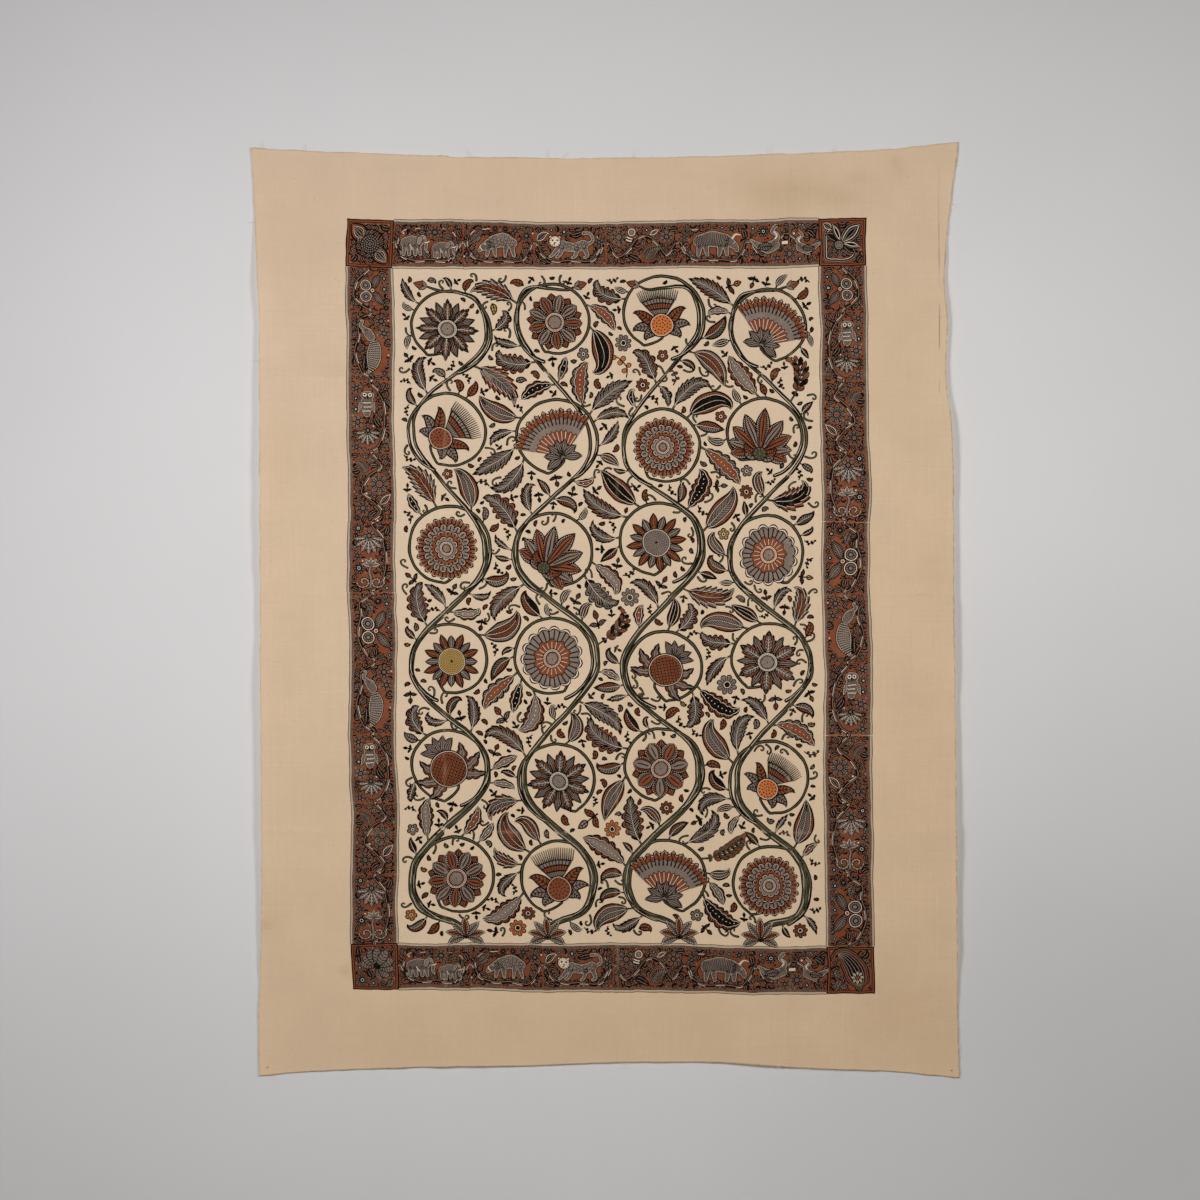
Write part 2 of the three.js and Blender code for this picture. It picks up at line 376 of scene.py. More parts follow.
    def stamp(self, pots):
        """A whole drawing of other pots, printed at this pen's place."""
        for dye, pot in pots.items():
            points, levels = np.concatenate(pot.points), np.concatenate(pot.levels)
            target = self.pots.setdefault(dye, Pot())
            target.add(self.place(points), levels + self.level, np.concatenate(pot.faces))


def curve(points, count=24, closed=False):
    """A smooth line through a few points."""
    points = np.asarray(points, float)
    if closed:
        points = np.concatenate([points[-1:], points, points[:2]])
    else:
        points = np.concatenate([2 * points[:1] - points[1:2], points, 2 * points[-1:] - points[-2:-1]])
    spans = len(points) - 3
    at = np.linspace(0, spans, count, endpoint=not closed)
    k = np.minimum(at.astype(int), spans - 1)
    t = (at - k)[:, None]
    a, b, c, d = (points[k + i] for i in range(4))
    return 0.5 * (2 * b + (c - a) * t + (2 * a - 5 * b + 4 * c - d) * t**2 + (3 * b - a - 3 * c + d) * t**3)


def unit(steps):
    """Steps cut or drawn out to a length of one."""
    return steps / np.maximum(np.hypot(*steps.T), 1e-9)[:, None]


def headings(points):
    """Unit directions along a line."""
    return unit(np.gradient(points, axis=0))


# Leaves and petals. Each grows from the pen's origin along +y.


class Blade:
    """The spine and half width of a leaf or petal."""

    def __init__(self, length, width, bend=0.0, curl=0.0, fullest=0.45, edge="plain", notches=7, depth=0.3):
        if edge == "plain":
            notches = max(3 if length < 16 else 5, int(length / 9))
        at = (np.arange(notches)[:, None] + np.array(EDGE_STEPS[edge])[None]).ravel() / notches
        self.s = s = np.append(at, 1.0)
        heading = bend * s + curl * s**4
        middle = (heading[1:] + heading[:-1]) / 2
        step = np.diff(s) * length
        self.spine = np.zeros((len(s), 2))
        self.spine[1:] = np.cumsum(np.stack([np.sin(middle) * step, np.cos(middle) * step], 1), 0)
        self.along = np.stack([np.sin(heading), np.cos(heading)], 1)
        self.across = sideways(self.along)
        rising = np.sin(np.clip(s / fullest, 0, 1) * math.pi / 2) ** 0.75
        falling = np.cos(np.clip((s - fullest) / (1 - fullest), 0, 1) * math.pi / 2) ** 0.85
        self.half = width / 2 * np.where(s < fullest, rising, falling)
        phase = (s * notches) % 1.0
        self.hook = np.zeros_like(s)
        if edge == "toothed":
            self.half = self.half * (1 - depth + depth * phase)
            self.hook = phase * length / notches * 0.35
        elif edge == "lobed":
            self.half = self.half * (1 - depth + depth * np.abs(np.sin(phase * math.pi)) ** 0.7)
        self.length, self.bend = length, bend

    def read(self, values, s):
        """Values along the spine, one or a pair for each place, at shares s of its length."""
        if values.ndim == 1:
            return np.interp(s, self.s, values)
        return np.stack([np.interp(s, self.s, column) for column in values.T], 1)

    def sides(self, share=1.0, inset=0.0):
        """The left and right edges of a narrower blade inside this one."""
        half = np.maximum(self.half * share - inset, 0)[:, None]
        hook = self.along * self.hook[:, None] * share
        return self.spine - self.across * half + hook, self.spine + self.across * half + hook

    def area(self, pen, dye, up, share=1.0, inset=0.0, side=0):
        """Fills the blade, or only its left (-1) or right (1) half."""
        left, right = self.sides(share, inset)
        pen.ladder(dye, self.spine if side > 0 else left, self.spine if side < 0 else right, up)

    def coats(self, pen, up, *coats):
        """Fills one on the other, a level up each time: a dye, how far in from the edge, and a share."""
        for step, (dye, inset, *share) in enumerate(coats):
            self.area(pen, dye, up + step, *share, inset=inset)

    def veins(self, pen, dye, up, count, near=0.1, far=0.9, wide=1.0, thin=0.6):
        """Short strokes that leave the spine and sweep towards the tip."""
        s = np.linspace(0.1, 0.84, count)
        end = np.minimum(s + 0.1, 0.97)
        row, tip, across = self.read(self.spine, s), self.read(self.spine, end), self.read(self.across, end)
        half = self.read(self.half, end)[:, None]
        long = half[:, 0] > 1.8
        for side in (-1, 1):
            out = tip + across * half * side * far
            pen.spikes(dye, (row + (out - row) * near)[long], out[long], wide, thin, up)

    def strakes(self, pen, dye, up, shares, wide=1.0, start=0.05, end=0.95):
        """Strokes that run along the blade, at shares of its half width."""
        inside = (self.s >= start) & (self.s <= end)
        if inside.sum() < 3:
            return
        taper = 0.3 + 0.7 * np.sin(self.s[inside] * math.pi)
        for share in shares:
            row = self.spine + self.across * (self.half * share)[:, None]
            pen.line(dye, row[inside], wide * taper, up)

    def rib(self, pen, dye, up, wide=1.6, start=0.0, end=0.93):
        """The middle rib, thinning towards the tip."""
        inside = (self.s >= start) & (self.s <= end)
        if inside.sum() > 2:
            pen.line(dye, self.spine[inside], wide * (1 - 0.65 * self.s[inside]), up)

    def beads(self, pen, dye, up, count, radius, share=0.0, start=0.15, end=0.85):
        """A row of spots along the blade, at a share of its half width."""
        s = np.linspace(start, end, count)
        half = self.read(self.half, s)[:, None]
        pen.dots(dye, self.read(self.spine, s) + self.read(self.across, s) * half * share, radius, up, 6)

    def discs(self, gap=0.0, count=7):
        """Round patches that cover the blade: x, y, radius, with the blade gap further along +y."""
        s = np.linspace(0.08, 0.97, count)
        x, y = self.read(self.spine, s).T
        return np.stack([x, y + gap, self.read(self.half, s) * 1.02 + self.hook.max() * 0.5], 1)


OUTLINE = 2.8


def leaf_rimmed(pen, blade, margin=RUST, middle=GREY):
    """Dark outline, coloured margin, and a middle of another dye with close dark veins."""
    blade.coats(pen, 0, (DARK, 0), (margin, OUTLINE))
    count = int(blade.length / 4.6)
    blade.veins(pen, DARK, 2, count, near=0.5, far=0.8, wide=1.0, thin=0.8)
    blade.coats(pen, 3, (PALE, 0, 0.6), (DARK, 0.8, 0.6), (middle, 2.2, 0.6))
    blade.veins(pen, DARK, 6, count, near=0.0, far=0.5, wide=1.5, thin=0.9)
    blade.rib(pen, DARK, 7, 2.4)
    blade.rib(pen, PALE, 8, 0.8, 0.05, 0.8)


def leaf_hatched(pen, blade, margin=RUST, middle=DARK):
    """Dark leaf with a coloured edge band and pale hatching to the rib."""
    blade.coats(pen, 0, (DARK, 0), (margin, OUTLINE), (DARK, 0.4, 0.72))
    count = int(blade.length / 4.4)
    blade.veins(pen, GREY, 3, count, near=0.12, far=0.6, wide=1.7, thin=1.0)
    blade.rib(pen, DARK, 4, 3.0)
    blade.rib(pen, PALE, 5, 1.1, 0.0, 0.9)


def leaf_halved(pen, blade, margin=RUST, middle=GREY):
    """One half in one dye and one half in another, parted by a pale rib."""
    blade.area(pen, DARK, 0)
    blade.area(pen, margin, 1, inset=OUTLINE, side=-1)
    blade.area(pen, middle, 2, inset=OUTLINE, side=1)
    count = int(blade.length / 4.4)
    blade.veins(pen, DARK, 3, count, near=0.1, far=0.85, wide=1.5, thin=1.0)
    blade.rib(pen, DARK, 4, 2.8)
    blade.rib(pen, PALE, 5, 0.9, 0.0, 0.85)


def leaf_beaded(pen, blade, margin=GREY, middle=RUST):
    """A coloured heart with a row of beads, inside a hatched rim."""
    blade.coats(pen, 0, (DARK, 0), (margin, OUTLINE))
    blade.veins(pen, DARK, 2, int(blade.length / 4.0), near=0.45, far=0.94, wide=1.5, thin=1.3)
    blade.coats(pen, 3, (PALE, 0, 0.55), (DARK, 0.8, 0.55), (middle, 2.1, 0.55))
    blade.beads(pen, PALE, 6, max(3, int(blade.length / 9)), 0.95)


def leaf_small(pen, blade, margin=RUST, middle=GREY):
    """A little leaf: outline, one dye, a rib and a few veins."""
    blade.coats(pen, 0, (DARK, 0), (margin, 2.2))
    blade.rib(pen, DARK, 2, 2.0)
    blade.veins(pen, DARK, 2, max(2, int(blade.length / 5)), near=0.1, far=0.85, wide=1.2, thin=0.8)


def patches(pen, blade):
    """The round patches that cover a blade, in the drawing that the pen belongs to."""
    discs = blade.discs()
    return np.column_stack([pen.place(discs[:, :2]), discs[:, 2]]).tolist()


def leaf_plumed(pen, blade, margin=RUST, middle=GREY):
    """A rib with a row of narrow leaflets down each side."""
    count = max(6, int(blade.length / 8.5))
    s = np.linspace(0.06, 0.93, count)
    row = blade.read(blade.spine, s)
    heading = np.arctan2(*blade.read(blade.along, s).T)
    reach = blade.read(blade.half, s)
    for side in (-1, 1):
        for k in range(count):
            long = max(reach[k] * 1.06, 5.0)
            leaflet = Blade(long, blade.length / count * 0.98, bend=-0.5 * side, fullest=0.6)
            at = pen.at(*row[k], heading[k] + side * 0.85)
            leaflet.coats(at, 0, (DARK, 0), (margin if k % 2 else middle, 1.6))
            leaflet.rib(at, DARK, 2, 1.2, 0.1, 0.8)
    end = Blade(blade.length / count * 1.5, blade.length / count, fullest=0.4)
    end.coats(pen.at(*row[-1], heading[-1]), 0, (DARK, 0), (margin, 1.3))
    blade.rib(pen, DARK, 3, 2.8, 0.0, 0.99)
    blade.rib(pen, "olive", 4, 1.2, 0.02, 0.9)


# Kind: drawing, width share, fullest, edge, notches for each 100 mm, depth. Every drawing is called with
# a margin dye and a middle dye, and some use only one of them, or neither.
LEAF_KINDS = {
    "rimmed": (leaf_rimmed, 0.42, 0.42, "plain", 0, 0.0),
    "saw": (leaf_rimmed, 0.50, 0.40, "toothed", 9, 0.34),
    "lobed": (leaf_hatched, 0.50, 0.42, "lobed", 8, 0.34),
    "hatched": (leaf_hatched, 0.38, 0.45, "toothed", 11, 0.25),
    "halved": (leaf_halved, 0.40, 0.40, "plain", 0, 0.0),
    "beaded": (leaf_beaded, 0.44, 0.52, "lobed", 7, 0.22),
    "plumed": (leaf_plumed, 0.56, 0.42, "plain", 0, 0.0),
    "small": (leaf_small, 0.48, 0.42, "plain", 0, 0.0),
}
LEAF_DYES = [(RUST, GREY), (RUST, GREY), (GREY, RUST), (RUST, DARK), (GREY, RUST)]


def make_blade(kind, length, bend, curl=0.0):
    _, width, fullest, edge, notches, depth = LEAF_KINDS[kind]
    count = max(3, round(notches * length / 100))
    return Blade(length, length * width, bend, curl, fullest, edge, count, depth)


def stalk(pen, length, thick, wood="olive"):
    """A short stem along +y."""
    points = np.linspace((0.0, 0.0), (0.0, length), 3)
    pen.line(DARK, points, np.linspace(thick + 1.2, thick, 3), 0)
    if thick > 1.9:
        pen.line(wood, points, thick - 1.3, 1)


def vine(pen, points, width):
    """A grown stem: dark edges, olive wood and broken grain lines."""
    points = np.asarray(points, float)
    width = np.broadcast_to(np.asarray(width, float), len(points))
    pen.line(DARK, points, width, 0, blunt=True)
    core = np.maximum(width - 3.7, 0.8)
    pen.line("olive", points, core, 1, blunt=True)
    across = headings(points) @ np.array([[0.0, -1.0], [1.0, 0.0]])
    for offset, phase in ((-0.26, 0.0), (0.04, 1.9), (0.3, 3.6)):
        wave = np.sin(np.arange(len(points)) * 0.9 + phase) * 0.06
        row = points + across * ((offset + wave) * core)[:, None]
        grain = np.where(np.sin(np.arange(len(points)) * 0.7 + phase * 2) > -0.6, 1.0, 0.0)
        dye = PALE if offset < -0.2 else DARK
        pen.line(dye, row, np.where(core > 2.4, grain * (0.7 if dye == PALE else 1.2), 0.0), 2)


# Flowers, each round the pen's origin, growing from a stem that comes from -y.


def scalloped(radius, count, depth, sharp=False, points_each=4, turn=0.0):
    """A closed outline with count round or pointed scallops."""
    angle = np.arange(count * points_each) * TAU / (count * points_each)
    phase = (angle * count / TAU) % 1.0
    bump = 1 - np.abs(2 * phase - 1) if sharp else np.abs(np.sin(phase * math.pi)) ** 0.75
    r = radius * (1 - depth + depth * bump)
    return np.stack([r * np.sin(angle + turn), r * np.cos(angle + turn)], 1)


def rays(radius_from, radius_to, count, turn=0.0, sweep=TAU):
    """Ends of straight strokes round a centre."""
    angle = turn + np.arange(count) * sweep / count
    way = np.stack([np.sin(angle), np.cos(angle)], 1)
    return way * radius_from, way * radius_to


def ring_spots(radius, count, turn=0.0):
    return rays(0.0, radius, count, turn)[1]


def eye(pen, radius, up, ground=RUST):
    """The centre of a flower: rings, beads and a dotted heart."""
    pen.rounds(up, (DARK, radius), (PALE, radius - 1.5), (ground, radius - 2.4))
    beads = max(6, int((radius - 3.6) * 2.2))
    pen.dots(PALE, ring_spots(radius - 4.0, beads), 0.85, up + 3)
    inner = max(radius - 5.6, 1.6)
    pen.circle(DARK, inner, up + 3)
    if inner > 3.0:
        pen.circle(GREY, inner - 1.3, up + 4)
        pen.dots(DARK, ring_spots(inner - 2.4, 6), 0.7, up + 5)
        pen.dots(DARK, [(0, 0)], 1.0, up + 5)


def petal(pen, length, width, up, outer, inner):
    """A pale-rimmed petal with a dark-rimmed heart of another dye."""
    blade = Blade(length, width, fullest=0.62)
    blade.coats(pen, up, (DARK, 0), (PALE, 2.3), (outer, 3.0), (DARK, 0, 0.52), (inner, 1.4, 0.52))
    blade.veins(pen, DARK, up + 3, max(3, int(length / 3.6)), near=0.5, far=0.85, wide=1.7, thin=1.2)
    blade.strakes(pen, DARK, up + 5, (0.0,), 2.0, 0.25, 0.85)


def flower_rosette(pen, radius, rng):
    """Two rings of round petals and a beaded eye."""
    count = int(rng.integers(7, 10))
    for _, at in pen.around(count, radius * 0.4, 0.5):
        sepal = Blade(radius * 0.62, radius * 0.42, fullest=0.5)
        sepal.coats(at, 0, (DARK, 0), (RUST, 2.5))
        sepal.strakes(at, DARK, 2, (-0.45, 0.0, 0.45), 1.4, 0.3, 0.95)
    for k, at in pen.around(count, radius * 0.22):
        dyes = (GREY, RUST) if k % 2 else (RUST, GREY)
        petal(at, radius * 0.76, radius * 4.4 / count, 3, *dyes)
    eye(pen, radius * 0.36, 9)


def flower_star(pen, radius, rng):
    """Pointed toothed petals with leaves showing between them."""
    count = int(rng.integers(6, 9))
    for _, at in pen.around(count, radius * 0.3, 0.5):
        back = Blade(radius * 0.7, radius * 0.3, fullest=0.4)
        back.coats(at, 0, (DARK, 0), (GREY, 2.3))
        back.rib(at, DARK, 2, 2.0)
        back.strakes(at, DARK, 2, (-0.4, 0.4), 1.2, 0.3, 0.95)
    for _, at in pen.around(count, radius * 0.2):
        blade = Blade(radius * 0.8, radius * 3.3 / count, edge="toothed", notches=5, depth=0.28)
        blade.coats(at, 3, (DARK, 0), (RUST, 2.6), (DARK, 0, 0.58), (GREY, 1.6, 0.58))
        blade.veins(at, DARK, 7, 7, 0.0, 0.5, 1.5, 1.1)
        blade.rib(at, PALE, 8, 0.9, 0.1, 0.85)
    eye(pen, radius * 0.33, 9, GREY)


def flower_marigold(pen, radius, rng):
    """Rings of small scallops, each ring smaller and in another dye."""
    for k, share in enumerate((1.0, 0.79, 0.59, 0.41)):
        r = radius * share
        count = max(8, int(r * 0.42))
        dye = GREY if k % 2 else RUST
        for step, (coat, inset) in enumerate(((DARK, 0), (PALE, 2.4), (dye, 3.1))):
            pen.disc(coat, scalloped(r - inset, count, 0.16, turn=k * 0.2), 3 * k + step)
        pen.spikes(DARK, *rays(r * 0.74, r - 3.8, count * 2, k * 0.2), 2.2, 1.5, 3 * k + 3)
    eye(pen, radius * 0.24, 13)


def flower_lotus(pen, radius, rng):
    """A flower from the side: a fan of long petals over a cup of sepals."""
    base = pen.at(0, -radius * 0.62)
    for k, turn in enumerate((-1.45, 1.45, -1.12, 1.12, -0.78, 0.78, -0.4, 0.4, 0.0)):
        long = radius * (1.62 - 0.42 * abs(turn))
        outer, inner = (RUST, GREY) if k // 2 % 2 else (GREY, RUST)
        blade = Blade(long, radius * 0.5, bend=0.35 * turn, fullest=0.62)
        at = base.at(turn=turn, up=k)
        blade.coats(at, 0, (DARK, 0), (PALE, 2.4), (outer, 3.1), (DARK, 0, 0.5), (inner, 1.4, 0.5))
        blade.veins(at, DARK, 3, int(long / 4.4), near=0.52, far=0.85, wide=1.7, thin=1.2)
        blade.strakes(at, DARK, 5, (0.0,), 2.0, 0.2, 0.9)
    for side in (-1, 1):
        for turn, long in ((2.3, 0.6), (1.75, 0.72)):
            sepal = Blade(radius * long, radius * 0.3, bend=-1.2 * side, curl=-0.8 * side, fullest=0.42)
            leaf_small(base.at(0, 0, side * turn, up=12), sepal, RUST if turn < 2 else GREY)
    base.rounds(15, (DARK, radius * 0.24), ("olive", radius * 0.24 - 1.8))
    base.spikes(DARK, *rays(radius * 0.05, radius * 0.2, 9), 1.2, 1.4, 17)


def flower_pomegranate(pen, radius, rng):
    """A round fruit with a latticed skin, a crown and curled leaves at its sides."""
    skin = "orange" if rng.random() < 0.6 else RUST
    for side in (-1, 1):
        for turn, long in ((2.5, 0.95), (1.75, 1.0), (1.0, 0.95)):
            leaf = Blade(radius * long, radius * 0.42, -0.9 * side, fullest=0.42, edge="lobed", notches=4)
            at = pen.at(side * radius * 0.22, -radius * 0.2, side * turn)
            leaf.coats(at, 0, (DARK, 0), (RUST, 2.5), (DARK, 0, 0.6), (GREY, 1.5, 0.6))
            leaf.rib(at, DARK, 4, 1.6)
    for turn in (-0.62, 0.62, -0.32, 0.32, 0.0):
        crown = Blade(radius * 0.74, radius * 0.3, bend=turn, fullest=0.5)
        at = pen.at(0, radius * 0.34, turn)
        crown.coats(at, 4, (DARK, 0), (GREY, 2.1))
        crown.strakes(at, DARK, 6, (-0.4, 0.0, 0.4), 1.3, 0.15, 0.95)
    fruit = pen.at(0, -radius * 0.08)
    girth = radius * 0.6
    angle = np.arange(32) * TAU / 32
    shape = np.stack([np.sin(angle), np.cos(angle)], 1) * (1 + 0.06 * np.cos(angle))[:, None]
    for up, (dye, inset) in enumerate(((DARK, 0), (PALE, 1.9), (DARK, 2.8), (skin, 3.9))):
        fruit.disc(dye, shape * (girth - inset), 6 + up)
    reach = girth - 4.6
    step = 5.4
    for k in np.arange(step / 2 - reach, reach, step):
        half = math.sqrt(max(reach**2 - k * k, 0))
        for lean in (math.pi / 4, -math.pi / 4):
            fruit.at(turn=lean).line(DARK, np.linspace((k, -half), (k, half), 5), 1.1, 10)
    cells = np.arange(-reach, reach, step)
    spots = [(i, j) for i in cells for j in cells if math.hypot(i, j) < reach - 1.5]
    fruit.at(turn=math.pi / 4).dots(DARK, spots, 0.95, 10, 5)


def flower_fan(pen, radius, rng):
    """A wide fan with a frilled rim on a long cup."""
    base = pen.at(0, -radius * 0.6)
    spread = 1.02
    reach = radius * 1.58
    angle = np.linspace(-spread, spread, 55)
    way = np.stack([np.sin(angle), np.cos(angle)], 1)
    narrow = np.stack([np.sin(angle * 0.9), np.cos(angle * 0.9)], 1)
    bump = np.abs(((angle / spread + 1) * 5.5) % 1.0 - 0.5) * 2
    for up, (dye, inset, frill, share) in enumerate((
        (DARK, 0.0, 0.1, 1.0),
        (PALE, 2.3, 0.1, 1.0),
        (RUST, 3.2, 0.1, 1.0),
        (DARK, 2.0, 0.06, 0.84),
        (GREY, 3.2, 0.06, 0.84),
        (DARK, 3.0, 0.1, 0.6),
        (RUST, 4.2, 0.1, 0.6),
    )):
        edge = way * (reach * share * (1 - frill * bump) - inset)[:, None]
        base.ladder(dye, edge, narrow * inset, up)
    for dye, near, far, count, indent, wide, thin in (
        (DARK, 0.66, 0.86, 19, 0.06, 2.3, 1.6),
        (PALE, 0.2, 0.52, 11, 0.1, 0.8, 1.0),
        (DARK, 0.87, 0.96, 26, 0.04, 1.8, 1.3),
    ):
        ends = rays(reach * near, reach * far, count, indent - spread, 2 * spread)
        base.spikes(dye, *ends, wide, thin, 7)
    for turn in (-1.6, 1.6, -1.0, 1.0, -0.45, 0.45, 0.0):
        sepal = Blade(radius * 0.62, radius * 0.3, bend=0.3 * turn, fullest=0.5)
        at = base.at(0, -2, turn)
        sepal.coats(at, 8, (DARK, 0), (GREY, 2.1))
        sepal.strakes(at, DARK, 10, (-0.45, 0.0, 0.45), 1.4, 0.1, 0.95)


def flower_shell(pen, radius, rng):
    """A round frilled flower with a pale halo and ribs that meet at its foot."""
    count = 15
    pen.disc(DARK, scalloped(radius, count, 0.13), 0)
    pen.disc(PALE, scalloped(radius - 2.2, count, 0.13), 1)
    pen.disc(DARK, scalloped(radius - 4.6, count, 0.1), 2)
    pen.disc(GREY, scalloped(radius - 6.6, count, 0.1), 3)
    starts, ends = rays(radius * 0.4, radius - 7.4, count * 2)
    pen.spikes(DARK, starts, ends, 1.6, 2.4, 4)
    pen.disc(DARK, scalloped(radius * 0.62, 10, 0.16, sharp=True), 5)
    pen.disc(RUST, scalloped(radius * 0.62 - 1.5, 10, 0.16, sharp=True), 6)
    starts, ends = rays(radius * 0.3, radius * 0.5, 20)
    pen.spikes(PALE, starts, ends, 0.8, 0.8, 7)
    eye(pen, radius * 0.3, 8, "orange" if rng.random() < 0.4 else RUST)


def flower_thistle(pen, radius, rng):
    """A scaled bulb between curled leaves, under a flared crown of bristles."""
    for side in (-1, 1):
        for turn, long, up in ((2.35, 0.66, 0), (1.65, 0.86, 0), (0.95, 0.94, 6)):
            blade = Blade(radius * long, radius * 0.36, bend=-0.5 * side, curl=1.5 * side, fullest=0.42)
            at = pen.at(side * radius * 0.12, -radius * 0.3, side * turn, up=up)
            blade.coats(at, 0, (DARK, 0), (RUST if up else GREY, 2.5))
            blade.veins(at, DARK, 2, 7, 0.0, 0.85, 1.7, 1.2)
            blade.rib(at, DARK, 3, 2.0)
    across = np.linspace(-1, 1, 21)
    foot = np.stack([across * radius * 0.22, radius * (0.02 + 0.04 * across**2)], 1)
    lip = np.stack([across * radius * 0.56, radius * (0.60 - 0.10 * across**2)], 1)
    reach = lip + np.stack([across * radius * 0.12, radius * (0.36 - 0.06 * across**2)], 1)
    pen.spikes(DARK, lip, reach, 1.7, 0.8, 11)
    pen.ladder(DARK, foot, lip, 12)
    for low, high, dye in ((0.08, 0.34, GREY), (0.42, 0.66, RUST), (0.74, 0.94, GREY)):
        narrow = np.array([0.93, 1.0])
        pen.ladder(dye, (foot + (lip - foot) * low) * narrow, (foot + (lip - foot) * high) * narrow, 13)
    pen.spikes(DARK, foot[1:-1:2], lip[1:-1:2], 0.9, 1.5, 14)
    bulb = pen.at(0, -radius * 0.3, up=10)
    skin = RUST if rng.random() < 0.6 else "orange"
    bulb.rounds(5, (DARK, radius * 0.4), (PALE, radius * 0.4 - 2.0), (skin, radius * 0.4 - 2.8))
    for k in (1, 2, 3):
        count = 5 * k
        bulb.dots(DARK, ring_spots(radius * 0.1 * k - 1.0, count, 0.4 * k), 1.3, 8, 6)


def flower_sun(pen, radius, rng):
    """Many narrow petals round a seeded disc."""
    for k, at in pen.around(16, radius * 0.35):
        blade = Blade(radius * (0.66 if k % 2 else 0.56), radius * 0.27, fullest=0.55)
        blade.area(at, DARK, k % 2)
        blade.area(at, RUST if k % 2 else GREY, 2 + k % 2, inset=2.3)
        blade.strakes(at, DARK, 4, (-0.35, 0.35), 1.3, 0.3, 0.95)
    r = radius * 0.48
    pen.rounds(5, (DARK, r), (PALE, r - 1.5), ("mustard" if rng.random() < 0.5 else GREY, r - 2.3))
    for k in range(1, int((r - 3) / 2.9) + 1):
        pen.dots(DARK, ring_spots(k * 2.9, int(k * 6.2), k * 0.3), 1.0, 8, 5)
    pen.circle(DARK, 2.0, 8)


# Each is called with the generator of random numbers, which some don't need.
FLOWERS = [
    flower_rosette,
    flower_lotus,
    flower_star,
    flower_marigold,
    flower_pomegranate,
    flower_fan,
    flower_shell,
    flower_thistle,
    flower_sun,
]


def bud(pen, length):
    """A closed bud in its cup, along +y."""
    blade = Blade(length, length * 0.56, fullest=0.4)
    blade.coats(pen, 0, (DARK, 0), (RUST, 1.9))
    blade.rib(pen, DARK, 2, 1.4, 0.3, 0.85)
    for side in (-1, 1):
        cup = Blade(length * 0.62, length * 0.28, bend=0.4 * side, fullest=0.4)
        at = pen.at(turn=0.42 * side)
        cup.coats(at, 3, (DARK, 0), (GREY, 1.5))


def rosette_small(pen, radius, dye=RUST):
    """A little round flower."""
    count = 5 if radius < 12 else 8
    pen.disc(DARK, scalloped(radius, count, 0.26, points_each=5), 0)
    pen.disc(dye, scalloped(radius - 1.9, count, 0.26, points_each=5), 1)
    starts, ends = rays(radius * 0.42, radius * 0.76, count * 2, turn=TAU / count / 4)
    pen.spikes(DARK, starts, ends, 1.4, 1.0, 2)
    pen.rounds(3, (DARK, radius * 0.4), (PALE, radius * 0.4 - 1.3), (DARK, max(radius * 0.4 - 2.4, 0.7)))


def sprig(pen, length, dye):
    """A short stem with two side leaves and a leaf at its tip."""
    stalk(pen, length * 0.6, 1.8)
    for side in (-1, 1):
        leaf = Blade(length * 0.54, length * 0.27, bend=0.5 * side, curl=0.9 * side, fullest=0.42)
        leaf_small(pen.at(0, length * 0.12, side * 0.85, up=2), leaf, GREY if dye == RUST else RUST)
    blade = Blade(length * 0.52, length * 0.32, fullest=0.4)
    leaf_small(pen.at(0, length * 0.46, up=4), blade, dye)


def tendril(pen, length):
    """A stem that winds into a round."""
    t = np.linspace(0, 1, 22)
    turn = -0.35 + 5.6 * t**1.7
    way = np.stack([np.sin(turn), np.cos(turn)], 1) * (1 - 0.62 * t)[:, None]
    line = np.concatenate([[(0.0, 0.0)], np.cumsum(way[:-1], 0)]) * length * 0.105
    pen.line(DARK, line, np.linspace(4.0, 2.6, 22), 0, blunt=True)
    pen.line("olive", line, np.linspace(1.5, 0.9, 22), 1)


def berries(pen, length, dye):
    """A curved twig of berries."""
    knots = [(0, 0), (length * 0.1, length * 0.4), (-length * 0.04, length * 0.75), (-length * 0.24, length)]
    twig = curve(knots, 12)
    pen.line(DARK, twig, 1.9, 0)
    for k in (3, 5, 7, 9, 11):
        side = 1 if k % 4 == 1 else -1
        x, y = twig[k]
        pen.circle(DARK, length * 0.125, 1, x + side * length * 0.13, y, 9)
        pen.circle(dye, length * 0.125 - 1.5, 2, x + side * length * 0.13, y, 8)
        pen.dots(DARK, [(x + side * length * 0.13, y)], 0.9, 3, 5)


# Fitting motifs together.


